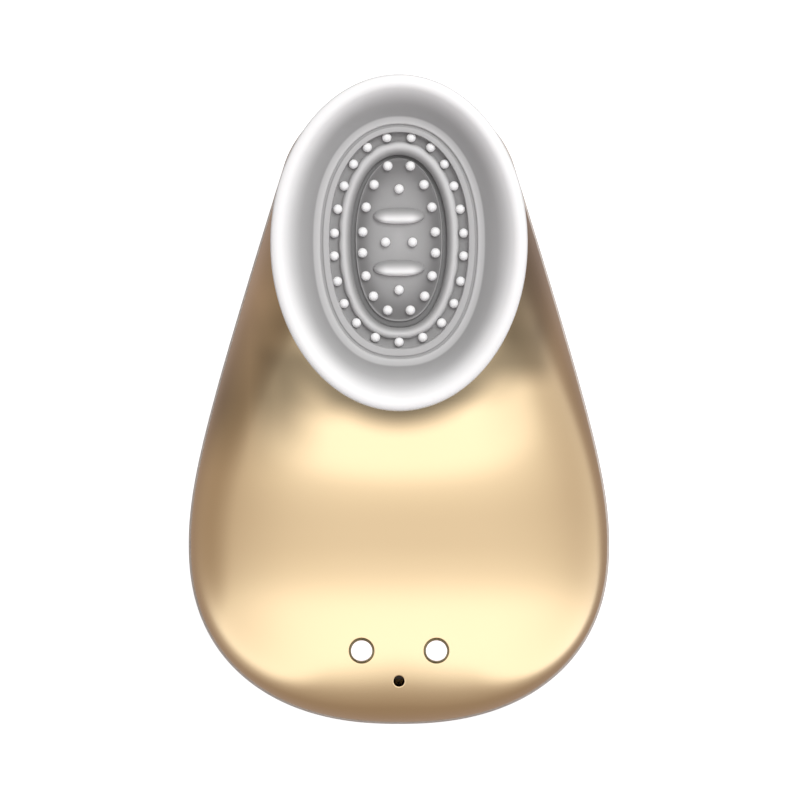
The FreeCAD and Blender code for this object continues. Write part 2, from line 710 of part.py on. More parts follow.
def light_pipe():
    pipe = post(0, LAMP_Y, BOARD_TOP + 0.7, FAR, LAMP_RADIUS).common(front_form(1.0))
    return pipe.fuse(post(0, LAMP_Y, BOARD_TOP + 0.7, 23.0, 1.5))


# ---- Buttons -------------------------------------------------------------------------------
def switch_board():
    return box(-7.5, 7.5, 18.0, 40.5, CHASSIS_Z - 1.2, CHASSIS_Z)


def tact_switches():
    made = []
    for y in BUTTON_Y.values():
        top = CHASSIS_Z - 1.2
        case = box(-2.25, 2.25, y - 2.25, y + 2.25, top - 2.5, top)
        made.append(case.fuse(post(0, y, top - 3.0, top - 2.5, 0.9)))
    return Part.makeCompound(made)


def push_button(name):
    y = BUTTON_Y[name]
    cap = post(0, y, -FAR, BUTTON_STOP_Z, BUTTON_RADIUS).common(back_form(-BUTTON_PROUD))
    flange = post(0, y, BUTTON_STOP_Z, BUTTON_STOP_Z + 0.8, 4.7)
    stem = post(0, y, BUTTON_STOP_Z + 0.8, BUTTON_STOP_Z + 1.15, 1.5)
    return fuse([cap, flange, stem])


def button_spring(name):
    return helix_spring(0, BUTTON_Y[name], BUTTON_STOP_Z + 0.8, CHASSIS_Z - 1.2, 4.1, 0.45, 3)


# ---- Assembly ------------------------------------------------------------------------------
NODES = {
    "front_shell": front_shell,
    "rear_shell": rear_shell,
    "seam_gasket": seam_gasket,
    "massage_cup": massage_cup,
    "massage_pad": massage_pad,
    "pad_bellows": pad_bellows,
    "latch_ring": latch_ring,
    "drive_seal": drive_seal,
    "drive_plate": drive_plate,
    "coil_bobbin": coil_bobbin,
    "drive_coil": drive_coil,
    "drive_yoke": drive_yoke,
    "drive_magnet": drive_magnet,
    "pole_piece": pole_piece,
    "return_spring": return_spring,
    "chassis": chassis,
    "chassis_screws": chassis_screws,
    "main_board": main_board,
    "board_components": board_components,
    "board_screws": board_screws,
    "battery": battery,
    "battery_pad": battery_pad,
    "battery_leads": battery_leads,
    "motor_can": motor_can,
    "motor_rotor": motor_rotor,
    "motor_bracket": motor_bracket,
    "motor_clamp": motor_clamp,
    "clamp_screws": clamp_screws,
    "motor_leads": motor_leads,
    "coil_leads": coil_leads,
    "charge_contact_left": lambda: charge_contact(-1),
    "charge_contact_right": lambda: charge_contact(1),
    "contact_seals": contact_seals,
    "light_pipe": light_pipe,
    "switch_board": switch_board,
    "tact_switches": tact_switches,
    "power_button": lambda: push_button("power_button"),
    "mode_button": lambda: push_button("mode_button"),
    "power_button_spring": lambda: button_spring("power_button"),
    "mode_button_spring": lambda: button_spring("mode_button"),
}


def main():
    os.makedirs("parts", exist_ok=True)
    for name, make in NODES.items():
        shape = make()
        shape.exportStep(f"parts/{name}.step")
        size = shape.BoundBox
        print(f"{name}: {len(shape.Solids)} solids, valid {shape.isValid()}, volume {shape.Volume:.1f}, "
              f"z {size.ZMin:.2f} to {size.ZMax:.2f}")


main()
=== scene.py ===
import json
import math

import bmesh
import bpy
import numpy as np
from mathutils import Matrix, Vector
from mathutils.geometry import delaunay_2d_cdt

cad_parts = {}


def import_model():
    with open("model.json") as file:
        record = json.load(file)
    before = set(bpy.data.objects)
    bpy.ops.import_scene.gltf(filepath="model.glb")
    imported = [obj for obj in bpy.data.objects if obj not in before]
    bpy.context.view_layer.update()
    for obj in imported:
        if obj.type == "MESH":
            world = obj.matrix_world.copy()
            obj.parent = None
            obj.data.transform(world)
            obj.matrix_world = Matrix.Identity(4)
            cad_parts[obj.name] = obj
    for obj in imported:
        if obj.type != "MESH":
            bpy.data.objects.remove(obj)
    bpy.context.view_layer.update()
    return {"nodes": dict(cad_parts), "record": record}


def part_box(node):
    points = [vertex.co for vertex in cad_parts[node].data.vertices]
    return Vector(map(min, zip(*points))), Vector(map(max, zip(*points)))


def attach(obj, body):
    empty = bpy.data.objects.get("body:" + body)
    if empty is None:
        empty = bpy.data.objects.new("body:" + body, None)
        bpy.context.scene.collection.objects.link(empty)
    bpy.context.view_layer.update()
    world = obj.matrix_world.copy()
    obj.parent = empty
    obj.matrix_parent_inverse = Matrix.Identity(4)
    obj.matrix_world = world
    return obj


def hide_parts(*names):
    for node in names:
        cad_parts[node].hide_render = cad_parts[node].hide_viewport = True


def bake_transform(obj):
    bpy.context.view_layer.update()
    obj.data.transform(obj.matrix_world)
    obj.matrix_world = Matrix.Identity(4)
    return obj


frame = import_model()
nodes = frame["nodes"]

MM = 0.001

# ---- The part's own dimensions, in millimetres, as in the CAD ----
TAIL_Y, HEAD_Y = -49.6, 48.2
WIDEST_Y = -22.0
BODY_HALF_WIDTH = 32.1
TAIL_POWER, HEAD_POWER = 2.3, 2.2
TAPER, TAPER_EASE = 0.32, 14.0
HEAD_ROUND_Y = 36.0
WALL = 2.0
BELLY_HEIGHT, BELLY_TAIL_Y, BELLY_POWER = 18.9, -22.0, 2.2
NECK_RISE, RISE_FROM_Y, RISE_TO_Y, RISE_EASE = 15.3, -13.2, 20.8, 5.5
BROW_Y, BROW_POWER = 20.0, 4.0
BACK_DEPTH, BACK_TAIL_Y, BACK_POWER = 15.8, -15.0, 2.2
NAPE_Y, NAPE_POWER = -5.0, 1.9
SECTION_FULLNESS = 0.77
FRONT_Z, BACK_Z = 15.6, 14.4
GASKET_PROUD = 0.3
NECK_Z, ROOF_Z = 40.0, 37.0
OVAL_GAIN, OVAL_STRETCH = 1.02, 5.7
MOUTH_A = 12.0
RIM_Y, RIM_Z, LEAN = 24.0, 50.0, 0.12
CUP_FLOOR_Z = 41.2
TROUGH_Z, PAD_Z = 43.0, 42.5
NUB_RADIUS = 0.72
CONTACT_X, CONTACT_Y = 5.75, -38.5
CONTACT_RADIUS, CONTACT_HOLE = 1.65, 1.95
LAMP_Y, LAMP_RADIUS = -43.2, 0.85
BUTTONS = {"power_button": 34.5, "mode_button": 24.0}
BUTTON_RADIUS, BUTTON_HOLE = 3.5, 3.8
BUTTON_STOP_Z = 8.5
BOARD_TOP = 19.2
DRIVE_Y = RIM_Y + LEAN * (RIM_Z - CUP_FLOOR_Z)
MIDDLE_Y = (HEAD_Y + TAIL_Y) / 2

# ---- How finely the pieces are meshed and eased ----
BODY_ROWS, FRONT_COLUMNS, BACK_COLUMNS = 240, 200, 180
CUP_COUNT, PAD_COUNT, SLEEVE_COUNT = 368, 192, 160
SHARP_ANGLE = math.radians(38.0)
SEAT_INSET = 1.2    # depth below the skin, within the shell, where bosses and ribs end


# ---- Meshes ----
def piece(name, build, body, slot, stands_for):
    """A named mesh piece from points in millimetres, with the painted shade of each point and its slot's
    material.
    The body is None for a piece that is attached to no body."""
    mesh = bpy.data.meshes.new(name)
    mesh.from_pydata([tuple(c * MM for c in p) for p in build.points], [], build.faces)
    mesh.attributes.new("tone", "FLOAT", "POINT").data.foreach_set("value", build.painted_shades)
    mesh.validate()
    tidy = bmesh.new()
    tidy.from_mesh(mesh)
    bmesh.ops.remove_doubles(tidy, verts=tidy.verts, dist=2e-7)
    bmesh.ops.dissolve_degenerate(tidy, edges=tidy.edges, dist=1e-8)
    bmesh.ops.recalc_face_normals(tidy, faces=tidy.faces)
    for edge in tidy.edges:
        edge.smooth = len(edge.link_faces) != 2 or edge.calc_face_angle(0.0) < SHARP_ANGLE
    for face in tidy.faces:
        face.smooth = True
    tidy.to_mesh(mesh)
    tidy.free()
    made = bpy.data.objects.new(name, mesh)
    bpy.context.scene.collection.objects.link(made)
    made.data.materials.append(MATERIALS[slot])
    if body:
        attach(made, body)
    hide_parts(*stands_for)
    return made


class Build:
    """Points and faces gathered from several bands and patches."""

    def __init__(self):
        self.points = []
        self.faces = []
        # The painted shade of each point, from 0 to 1, which darkens the colour of the materials that read
        # it, and the painted shade given to the points added next.
        self.painted_shades = []
        self.tone = 1.0

    def add(self, points):
        start = len(self.points)
        self.points += [tuple(float(c) for c in p) for p in points]
        self.painted_shades += [self.tone] * (len(self.points) - start)
        return list(range(start, len(self.points)))

    def band(self, lower, upper, closed=True):
        n = len(lower)
        for i in range(n if closed else n - 1):
            j = (i + 1) % n
            self.faces.append((lower[i], lower[j], upper[j], upper[i]))

    def stack(self, rings, closed=False):
        """Bands between rings of equal length. Returns the point numbers of each ring."""
        made = [self.add(ring) for ring in rings]
        for a, b in zip(made, made[1:] + (made[:1] if closed else [])):
            self.band(a, b)
        return made

    def cap(self, ring):
        centre = np.mean([self.points[i] for i in ring], axis=0)
        middle = self.add([centre])[0]
        n = len(ring)
        for i in range(n):
            self.faces.append((ring[i], ring[(i + 1) % n], middle))

    def join(self, points, faces):
        start = len(self.points)
        self.add(points)
        self.faces += [tuple(i + start for i in f) for f in faces]


# ---- Body form ----
def superellipse(t, power):
    return np.clip(1.0 - np.clip(t, 0.0, 1.0) ** power, 0.0, 1.0) ** (1.0 / power)


def half_width(y, inset=0.0):
    tail = superellipse((WIDEST_Y - y) / (WIDEST_Y - TAIL_Y - inset), TAIL_POWER)
    past = np.maximum(y - WIDEST_Y, 0.0)
    taper = TAPER * (np.hypot(past, TAPER_EASE) - TAPER_EASE)
    head = superellipse((y - HEAD_ROUND_Y) / (HEAD_Y - inset - HEAD_ROUND_Y), HEAD_POWER)
    return (BODY_HALF_WIDTH - inset - taper) * tail * head


def front_height(y, inset=0.0):
    tail = superellipse((BELLY_TAIL_Y - y) / (BELLY_TAIL_Y - TAIL_Y - inset), BELLY_POWER)
    rise = 0.0
    for shift in np.linspace(-RISE_EASE, RISE_EASE, 9):
        s = np.clip((y + shift - RISE_FROM_Y) / (RISE_TO_Y - RISE_FROM_Y), 0.0, 1.0)
        rise = rise + s * s * (3.0 - 2.0 * s) / 9
    head = superellipse((y - BROW_Y) / (HEAD_Y - inset - BROW_Y), BROW_POWER)
    return (BELLY_HEIGHT - inset + NECK_RISE * rise) * tail * head


def back_depth(y, inset=0.0):
    tail = superellipse((BACK_TAIL_Y - y) / (BACK_TAIL_Y - TAIL_Y - inset), BACK_POWER)
    head = superellipse((y - NAPE_Y) / (HEAD_Y - inset - NAPE_Y), NAPE_POWER)
    return (BACK_DEPTH - inset) * tail * head


def section_across(t):
    """Place across the unit cross section, from 1 at t = 0 over the top to -1 at t = 1."""
    s = 1.0 - np.abs(1.0 - 2.0 * t)
    b0, b1, b2 = (1 - s) ** 2, 2 * s * (1 - s) * SECTION_FULLNESS, s ** 2
    whole = b0 + b1 + b2
    return np.sign(0.5 - t + 1e-12) * (b0 + b1) / whole


def section_height(across):
    """Height of the unit cross section at a distance from its middle."""
    p = 1.0 - np.clip(np.abs(across), 0.0, 1.0)
    k = 4 * SECTION_FULLNESS ** 2
    b = 2 + k * p - 2 * p
    return 1.0 - (b - np.sqrt(np.maximum(b * b - 4 * (1 - p) ** 2, 0.0))) / 2


def soften_top(z, top, blend):
    """Heights kept below a flat top, with an eased edge."""
    return top - blend * np.logaddexp(0.0, (top - z) / blend)


def front_z(x, y, inset=0.0):
    wide = np.maximum(half_width(y, inset), 1e-6)
    return FRONT_Z + front_height(y, inset) * section_height(x / wide)


def back_z(x, y, inset=0.0):
    wide = np.maximum(half_width(y, inset), 1e-6)
    return BACK_Z - back_depth(y, inset) * section_height(x / wide)


def front_outer(x, y):
    return soften_top(front_z(x, y), NECK_Z, 0.22)


def front_inner(x, y):
    return np.minimum(front_z(x, y, WALL), ROOF_Z)


def back_outer(x, y):
    return -soften_top(-back_z(x, y), 0.0, 0.18)


def back_inner(x, y):
    return np.maximum(back_z(x, y, WALL), WALL)


def back_middle(x, y):
    """A surface within the thickness of the rear shell."""
    return np.maximum(back_z(x, y, SEAT_INSET), 0.9)


def body_grid(surface, inset, rows, columns):
    """Rows from tail to head, columns from right to left, of points on a body surface."""
    reach = (HEAD_Y - TAIL_Y) / 2 - inset
    y = MIDDLE_Y - reach * np.cos(np.pi * np.arange(rows + 1) / rows)
    across = section_across(np.arange(columns + 1) / columns)
    wide = half_width(y, inset)
    wide[0] = wide[-1] = 0.0
    x = wide[:, None] * across[None, :]
    yy = np.repeat(y[:, None], columns + 1, axis=1)
    z = surface(x, yy)
    seam = FRONT_Z if surface in (front_outer, front_inner) else BACK_Z
    z[:, 0] = z[:, -1] = seam
    z[0, :] = z[-1, :] = seam
    return np.stack([x, yy, z], axis=2)


def ellipse(cx, cy, rx, ry, count):
    turn = 2 * np.pi * np.arange(count) / count
    return cx + rx * np.sin(turn), cy - ry * np.cos(turn)


def ring_at(x, y, level):
    """Points over x and y at a height, at given heights or on a surface."""
    return list(zip(x, y, level(x, y) if callable(level) else np.broadcast_to(level, x.shape)))


def inside_ellipse(x, y, hole, grow):
    cx, cy, rx, ry, _ = hole
    return ((x - cx) / (rx + grow)) ** 2 + ((y - cy) / (ry + grow)) ** 2 < 1.0


def grown(hole, by):
    """A hole (cx, cy, rx, ry, count) with larger radii."""
    return (hole[0], hole[1], hole[2] + by, hole[3] + by, hole[4])


def pierced(build, grid, surface, holes):
    """Adds the grid with holes. Each hole is (cx, cy, rx, ry, count). Returns their edge rings
    and the outline of the grid."""
    rows, columns = grid.shape[0] - 1, grid.shape[1] - 1
    number = np.array(build.add(grid.reshape(-1, 3))).reshape(rows + 1, columns + 1)
    keep = np.ones((rows, columns), bool)
    rings = []
    for hole in holes:
        near = inside_ellipse(grid[:, :, 0], grid[:, :, 1], hole, 0.45)
        gone = near[:-1, :-1] | near[1:, :-1] | near[:-1, 1:] | near[1:, 1:]
        keep &= ~gone
        border = region_border(gone)
        cx, cy, rx, ry, count = hole
        around = []
        for grow in (0.0, 0.08, 0.3):
            x, y = ellipse(cx, cy, rx + grow, ry + grow, count)
            around.append(build.add(ring_at(x, y, surface)))
        for a, c in zip(around, around[1:]):
            build.band(a, c)
        ring = around[-1]
        rings.append(around[0])
        ids = [int(number[i, j]) for i, j in border] + ring
        places = [(grid[i, j, 0], grid[i, j, 1]) for i, j in border] + list(zip(x, y))
        edges = []
        for start, length in ((0, len(border)), (len(border), len(ring))):
            edges += [(start + k, start + (k + 1) % length) for k in range(length)]
        outline = np.array(places[:len(border)])
        flat = [Vector((float(u), float(v))) for u, v in places]
        _, _, triangles, origin, _, _ = delaunay_2d_cdt(flat, edges, [], 0, 1e-6)
        for triangle in triangles:
            corner = [origin[k][0] for k in triangle]
            mid = np.mean([places[k] for k in corner], axis=0)
            if not inside_ellipse(mid[0], mid[1], hole, 0.299) and within(outline, mid):
                build.faces.append(tuple(ids[k] for k in corner))
    for i, j in np.argwhere(keep):
        build.faces.append((int(number[i, j]), int(number[i + 1, j]),
                            int(number[i + 1, j + 1]), int(number[i, j + 1])))
    outline = [int(n) for n in number[:, 0]] + [int(n) for n in number[::-1, -1]]
    return rings, outline


def region_border(gone):
    """The closed path of grid corners round a region of grid cells."""
    leads = {}
    rows, columns = gone.shape
    for i, j in np.argwhere(gone):
        sides = (((i, j), (i, j + 1), (i - 1, j)), ((i, j + 1), (i + 1, j + 1), (i, j + 1)),
                 ((i + 1, j + 1), (i + 1, j), (i + 1, j)), ((i + 1, j), (i, j), (i, j - 1)))
        for start, end, (ni, nj) in sides:
            if not (0 <= ni < rows and 0 <= nj < columns and gone[ni, nj]):
                leads[tuple(int(c) for c in start)] = tuple(int(c) for c in end)
    first = next(iter(leads))
    path = [first]
    while leads[path[-1]] != first:
        path.append(leads[path[-1]])
    return path


def within(outline, place):
    """Whether a place lies inside a closed outline."""
    x, y = outline[:, 0] - place[0], outline[:, 1] - place[1]
    x2, y2 = np.roll(x, -1), np.roll(y, -1)
    crossing = (y > 0) != (y2 > 0)
    with np.errstate(divide="ignore", invalid="ignore"):
        at = x - y * (x2 - x) / (y2 - y)
    return bool(np.count_nonzero(crossing & (at > 0)) % 2)


def drop_rings(surface, hole, rounding, sign, steps=4):
    """Rings that turn the edge of a hole from the surface down into its wall."""
    cx, cy, rx, ry, count = hole
    rings = []
    for k in range(1, steps + 1):
        turn = math.pi / 2 * k / steps
        shrink = rounding * math.sin(turn)
        x, y = ellipse(cx, cy, rx - shrink, ry - shrink, count)
        rings.append(ring_at(x, y, surface(x, y) - sign * rounding * (1 - math.cos(turn))))
    return rings


def upright_ring(hole, grow, z):
    """An oval ring at a height."""
    cx, cy, rx, ry, count = hole
    return ring_at(*ellipse(cx, cy, rx + grow, ry + grow, count), z)


def link_rings(build, first, rings, last):
    """Bands from a ring of points already there, over new rings, to another such ring."""
    made = [first] + [build.add(ring) for ring in rings] + [last]
    for a, b in zip(made, made[1:]):
        build.band(a, b)


def block(build, x0, x1, y0, y1, z0, z1):
    corners = [(x, y, z) for z in (z0, z1) for x, y in ((x0, y0), (x1, y0), (x1, y1), (x0, y1))]
    build.join(corners, [(0, 3, 2, 1), (4, 5, 6, 7), (0, 1, 5, 4), (1, 2, 6, 5), (2, 3, 7, 6), (3, 0, 4, 7)])


def tube(build, x, y, z0, z1, inner, outer, count=40):
    """A tube whose ends are at a height or on a surface."""
    build.stack([ring_at(*ellipse(x, y, radius, radius, count), level)
                 for radius, level in ((outer, z0), (outer, z1), (inner, z1), (inner, z0))], closed=True)


def oval_b(a):
    """Half the length of the oval that is a to each side of its middle."""
    return OVAL_GAIN * a + OVAL_STRETCH


def clamped(t):
    return min(max(t, 0.0), 1.0)


def eased(t):
    """0 below 0, 1 above 1 and a smooth step between."""
    t = clamped(t)
    return t * t * (3.0 - 2.0 * t)


# The shade that the room casts on the left of the cup, by distance from the middle.
LEFT_SHADE = [(18.0, 0.62), (20.0, 0.60), (21.0, 0.55), (23.0, 0.35), (25.0, 0.42), (27.0, 0.50)]
RIM_HALF_WIDTH, RIM_HALF_LENGTH, RIM_MEAN = 19.8, 25.9, 22.0


def shade_under_cup(x, y):
    """Painted shade on the gold next to the overhang of the cup and beside it: how light it leaves the gold,
    from 0 to 1.
    """
    away = (math.hypot(x / RIM_HALF_WIDTH, (y - RIM_Y) / RIM_HALF_LENGTH) - 1.0) * RIM_MEAN
    below = clamped((8.0 - y) / 8.0)
    under = 1.0 - (0.25 + 0.53 * below) * (1.0 - eased((away + 0.3) / 3.9))
    beside = eased((abs(x) - 10.0) / 8.0) * eased((y + 13.0) / 14.0)
    if x < 0:
        beside *= (1.0 - 0.48 * eased(y / 14.0)) * float(np.interp(-x, *zip(*LEFT_SHADE)))
        beside *= 1.0 - eased((y - 11.0) / 6.0)
        corner = 0.34 * eased((y + 5.0) / 4.5) * (1.0 - eased((y - 5.5) / 4.0))
    else:
        beside *= 0.08 + 0.48 * eased((y - 1.0) / 5.0) * (1.0 - eased((x - 21.0) / 4.5))
        corner = 0.27 * eased((y + 2.5) / 4.5) * (1.0 - eased((y - 9.0) / 5.0))
    corner *= (1.0 - eased((away - 2.5) / 5.0)) * eased((abs(x) - 6.0) / 5.0)
    return under * (1.0 - beside) * (1.0 - corner)


def front_shell():
    edge = 0.14
    mouth = (0.0, DRIVE_Y, MOUTH_A, oval_b(MOUTH_A), 160)
    contacts = [(side * CONTACT_X, CONTACT_Y, CONTACT_HOLE, CONTACT_HOLE, 72) for side in (-1, 1)]
    lamp = (0.0, LAMP_Y, LAMP_RADIUS, LAMP_RADIUS, 48)
    small = contacts + [lamp]
    build = Build()
    outer = body_grid(front_outer, 0.0, BODY_ROWS, FRONT_COLUMNS)
    over, outline = pierced(build, outer, front_outer, [grown(h, edge) for h in [mouth] + small])
    inner = body_grid(front_inner, WALL, BODY_ROWS, FRONT_COLUMNS)
    pocket = grown(mouth, 0.6)
    under, inner_outline = pierced(build, inner, front_inner, [pocket] + small)
    build.band(outline, inner_outline)
    link_rings(build, over[0],
               drop_rings(front_outer, grown(mouth, edge), edge, 1)
               + [upright_ring(mouth, 0.0, ROOF_Z), upright_ring(mouth, 0.6, ROOF_Z)], under[0])
    for hole, above, below in zip(small, over[1:], under[1:]):
        link_rings(build, above, drop_rings(front_outer, grown(hole, edge), edge, 1), below)
    for side in (-1, 1):
        tube(build, side * CONTACT_X, CONTACT_Y, 26.4, on_surface(front_z, SEAT_INSET), 3.1, 3.4)
    tube(build, 0, LAMP_Y, 23.0, on_surface(front_z, SEAT_INSET), 1.0, 2.2)
    for y in (-20.0, 6.0):
        reach = float(half_width(y + 3.0, 4.0)) + 0.4
        for side in (-1, 1):
            for near, far, top in ((0.0, 1.1, 20.0), (-1.2, 0.4, 14.5)):
                lo, hi = sorted((side * (reach + near), side * (reach + far)))
                block(build, lo, hi, y - 3.0, y + 3.0, 12.9, top)
    # The gold's colour is darkened by painted shade under the cup's overhang and beside the cup.
    build.painted_shades = [shade_under_cup(x, y) for x, y, _ in build.points]
    piece("front_shell_skin", build, "housing", "gold_shell", ["front_shell"])


def rib(build, reach, y0, y1, top):
    """An upright wall across the back that stands in the thickness of the shell."""
    rings = []
    for x in np.linspace(-reach, reach, 41):
        low = [float(back_middle(x, y)) for y in (y0, y1)]
        high = max(top, max(low) + 0.4)
        rings.append([(x, y0, low[0]), (x, y1, low[1]), (x, y1, high), (x, y0, high)])
    made = build.stack(rings)
    build.cap(made[0])
    build.cap(made[-1])


def rear_shell():
    edge = 0.3
    holes = [(0.0, y, BUTTON_HOLE, BUTTON_HOLE, 96) for y in BUTTONS.values()]
    build = Build()
    outer = body_grid(back_outer, 0.0, BODY_ROWS, BACK_COLUMNS)
    wide = [grown(hole, edge) for hole in holes]
    top, outline = pierced(build, outer, back_outer, wide)
    guide = [(cx, cy, 5.2, 5.2, count) for cx, cy, _, _, count in holes]
    inner = body_grid(back_inner, WALL, BODY_ROWS, BACK_COLUMNS)
    under, inner_outline = pierced(build, inner, back_inner, guide)
    build.band(outline, inner_outline)
    for hole, big, above, below in zip(holes, wide, top, under):
        rings = drop_rings(back_outer, big, edge, -1, 5)
        rings += [upright_ring(hole, 0.0, BUTTON_STOP_Z), upright_ring(hole, 1.4, BUTTON_STOP_Z)]
        link_rings(build, above, rings, below)
    for x, y in ((22.0, -27.0), (21.0, -4.0), (11.0, 33.0)):
        for side in (-1, 1):
            tube(build, side * x, y, back_middle, 14.5, 0.9, 2.8)
    for y in (-34.4, -4.8):
        rib(build, 18.5, y, y + 1.2, 7.0)
    piece("rear_shell_skin", build, "housing", "white_shell", ["rear_shell"])


def outline_ring(inset, z):
    """The body's outline at a height, with the same points as the rims of the shells."""
    reach = (HEAD_Y - TAIL_Y) / 2 - inset
    y = MIDDLE_Y - reach * np.cos(np.pi * np.arange(BODY_ROWS + 1) / BODY_ROWS)
    x = half_width(y, inset)
    x[0] = x[-1] = 0.0
    right = [(a, b, z) for a, b in zip(x, y)]
    left = [(-a, b, z) for a, b in zip(x[-2:0:-1], y[-2:0:-1])]
    return right + left


def seam_gasket():
    half = (FRONT_Z - BACK_Z) / 2
    profile = [(WALL, BACK_Z), (0.02, BACK_Z)]
    for k in range(9):
        turn = math.pi * k / 8
        profile.append((-GASKET_PROUD * math.sin(turn) * 0.98, 15.0 - half * 0.98 * math.cos(turn)))
    profile += [(0.02, FRONT_Z), (WALL, FRONT_Z)]
    build = Build()
    build.stack([outline_ring(inset, z) for inset, z in profile], closed=True)
    piece("seam_bead", build, "housing", "silicone_pale", ["seam_gasket"])


# ---- Cup, pad and bellows ----
# The places of the pimples on the right half. Those off the middle have a twin on the left.
TROUGH_NUBS = [(0.0, 8.89), (3.62, 9.6), (6.52, 11.81), (8.42, 14.78), (9.44, 18.19), (9.93, 22.07),
               (9.91, 25.56), (9.38, 29.24), (8.42, 32.79), (6.98, 36.14), (4.87, 38.71), (1.88, 40.21)]
PAD_NUBS = [(1.74, 35.87), (3.83, 33.0), (0.0, 32.34), (5.04, 29.55), (5.55, 25.76), (2.07, 24.19),
            (5.59, 22.54), (5.08, 19.01), (0.0, 16.87), (3.93, 15.91), (1.74, 13.75)]
TROUGH_INNER, TROUGH_MIDDLE = 9.3, 10.05
PAD_FLAT = 6.1
# How much nearer the tail each inner oval of the cup sits than its lean alone puts it.
INNER_DROPS = [(7.38, 0.5), (8.4, 0.25), (9.3, 0.31), (10.7, 0.25), (11.8, 0.38), (13.1, 0.29),
               (15.5, 0.12), (17.5, 0.0)]
# Painted shade on the silicone at a distance from the middle of the oval: paler on the rim and crests, darker
# in the hollows between them.
CUP_PAINTED_SHADE = [(7.38, 0.27), (7.7, 0.34), (8.05, 0.48), (8.35, 0.62), (8.95, 0.64), (9.2, 0.42),
             (9.35, 0.20), (10.1, 0.20), (10.6, 0.37), (10.77, 0.49), (11.55, 0.50), (11.66, 0.37),
             (11.95, 0.37), (12.1, 0.58), (12.98, 0.58), (13.13, 0.31), (13.6, 0.33), (14.4, 0.39),
             (15.1, 0.45), (15.8, 0.57), (16.5, 0.71), (17.2, 0.87), (17.9, 0.97), (19.5, 0.98),
             (19.62, 0.85), (19.7, 0.75)]
# The painted shade of the pad at a distance from its middle: darker towards its edge, with a paler line on
# its lip.
PAD_PAINTED_SHADE = [(0.0, 0.45), (1.2, 0.40), (3.0, 0.37), (4.0, 0.33), (4.6, 0.28), (5.3, 0.20), (6.0, 0.16),
             (6.42, 0.20), (6.5, 0.31), (6.62, 0.31), (6.74, 0.24), (7.5, 0.24)]


def curve_through(points, start, end, count):
    """A smooth curve through points with the given directions at its ends."""
    p = np.array(points, float)
    step = np.linalg.norm(np.diff(p, axis=0), axis=1)
    n = len(p)
    a = np.zeros((n, n))
    d = np.zeros((n, 2))
    a[0, 0] = a[-1, -1] = 1.0
    d[0] = np.array(start) / np.linalg.norm(start)
    d[-1] = np.array(end) / np.linalg.norm(end)
    for i in range(1, n - 1):
        a[i, i - 1], a[i, i], a[i, i + 1] = step[i], 2 * (step[i - 1] + step[i]), step[i - 1]
        before, after = p[i] - p[i - 1], p[i + 1] - p[i]
        d[i] = 3 * (step[i] * before / step[i - 1] + step[i - 1] * after / step[i])
    slope = np.linalg.solve(a, d)
    out = []
    for i in range(n - 1):
        pieces = max(2, round(count * step[i] / step.sum()))
        for k in range(pieces):
            t = k / pieces
            h00, h10 = 2 * t ** 3 - 3 * t ** 2 + 1, t ** 3 - 2 * t ** 2 + t
            h01, h11 = -2 * t ** 3 + 3 * t ** 2, t ** 3 - t ** 2
            out.append(tuple(h00 * p[i] + h10 * step[i] * slope[i]
                             + h01 * p[i + 1] + h11 * step[i] * slope[i + 1]))
    out.append(tuple(p[-1]))
    return out


def rounded(points, radius, steps=4):
    """An open run of straight lines whose corners are eased by radius."""
    out = [points[0]]
    for before, corner, after in zip(points, points[1:], points[2:]):
        before, corner, after = (np.array(v, float) for v in (before, corner, after))
        come, leave = before - corner, after - corner
        cut = min(radius, 0.45 * np.linalg.norm(come), 0.45 * np.linalg.norm(leave))
        start = corner + come / np.linalg.norm(come) * cut
        end = corner + leave / np.linalg.norm(leave) * cut
        for k in range(steps + 1):
            t = k / steps
            out.append(tuple((1 - t) ** 2 * start + 2 * t * (1 - t) * corner + t ** 2 * end))
    out.append(points[-1])
    return out


def cup_profile():
    """The closed section of the cup as (distance from the middle, height)."""
    wall = curve_through([(14.9, 41.2), (16.6, 44.2), (18.5, 47.0), (19.7, 49.2)], (0.7, 1.2), (0.1, 1.0), 18)
    funnel = curve_through([(19.7, 49.2), (18.7, 50.0), (17.2, 49.1), (15.1, 46.6), (13.03, 44.9)],
                           (0.0, 1.2), (-1.6, -0.7), 34)
    ledges = rounded([(13.03, 44.9), (12.12, 44.85), (11.99, 44.42), (11.73, 44.4), (11.59, 44.6),
                      (10.72, 44.5), (10.62, TROUGH_Z), (TROUGH_INNER, TROUGH_Z)], 0.16)
    roll = curve_through([(TROUGH_INNER, TROUGH_Z), (8.55, 44.2), (7.38, 43.08)],
                         (0.0, 1.6), (-0.35, -1.0), 20)
    under = [(7.38, 43.08), (7.36, 42.98), (7.42, 42.93), (7.6, 42.92), (7.6, 41.2), (8.1, 41.2),
             (8.1, 38.0), (6.5, 38.0), (6.5, 37.2), (8.9, 37.2), (8.9, 41.2), (10.3, 41.2),
             (10.3, 37.2), (11.7, 37.2), (11.7, NECK_Z), (14.2, NECK_Z)]
    return wall + funnel[1:] + ledges[1:] + roll[1:] + under[1:]


def oval_y(z):
    """The middle of the leaning cup at a height."""
    return RIM_Y + LEAN * (RIM_Z - max(z, CUP_FLOOR_Z))


def both_sides(places):
    return places + [(-x, y) for x, y in places if x > 0]


def inner_drop(a, z):
    return float(np.interp(a, *zip(*INNER_DROPS))) if z >= CUP_FLOOR_Z else 0.0


def full_oval(middle, a, b, fullness, count):
    """An oval about a middle. Fullness 0 is an ellipse, 1 swells it at the corners, most at the tail."""
    across, along = ellipse(0.0, 0.0, 1.0, 1.0, count)
    power = 2.0 + fullness * (0.22 - 0.1 * along)
    swell = (np.abs(across) ** power + np.abs(along) ** power) ** (-1.0 / power)
    return a * swell * across, middle + b * swell * along


def inner_fullness(a, z):
    """Full over the ledges and plain by the rim and below the floor."""
    return 1.0 - eased((a - 13.4) / 3.6) if z >= CUP_FLOOR_Z else 0.0


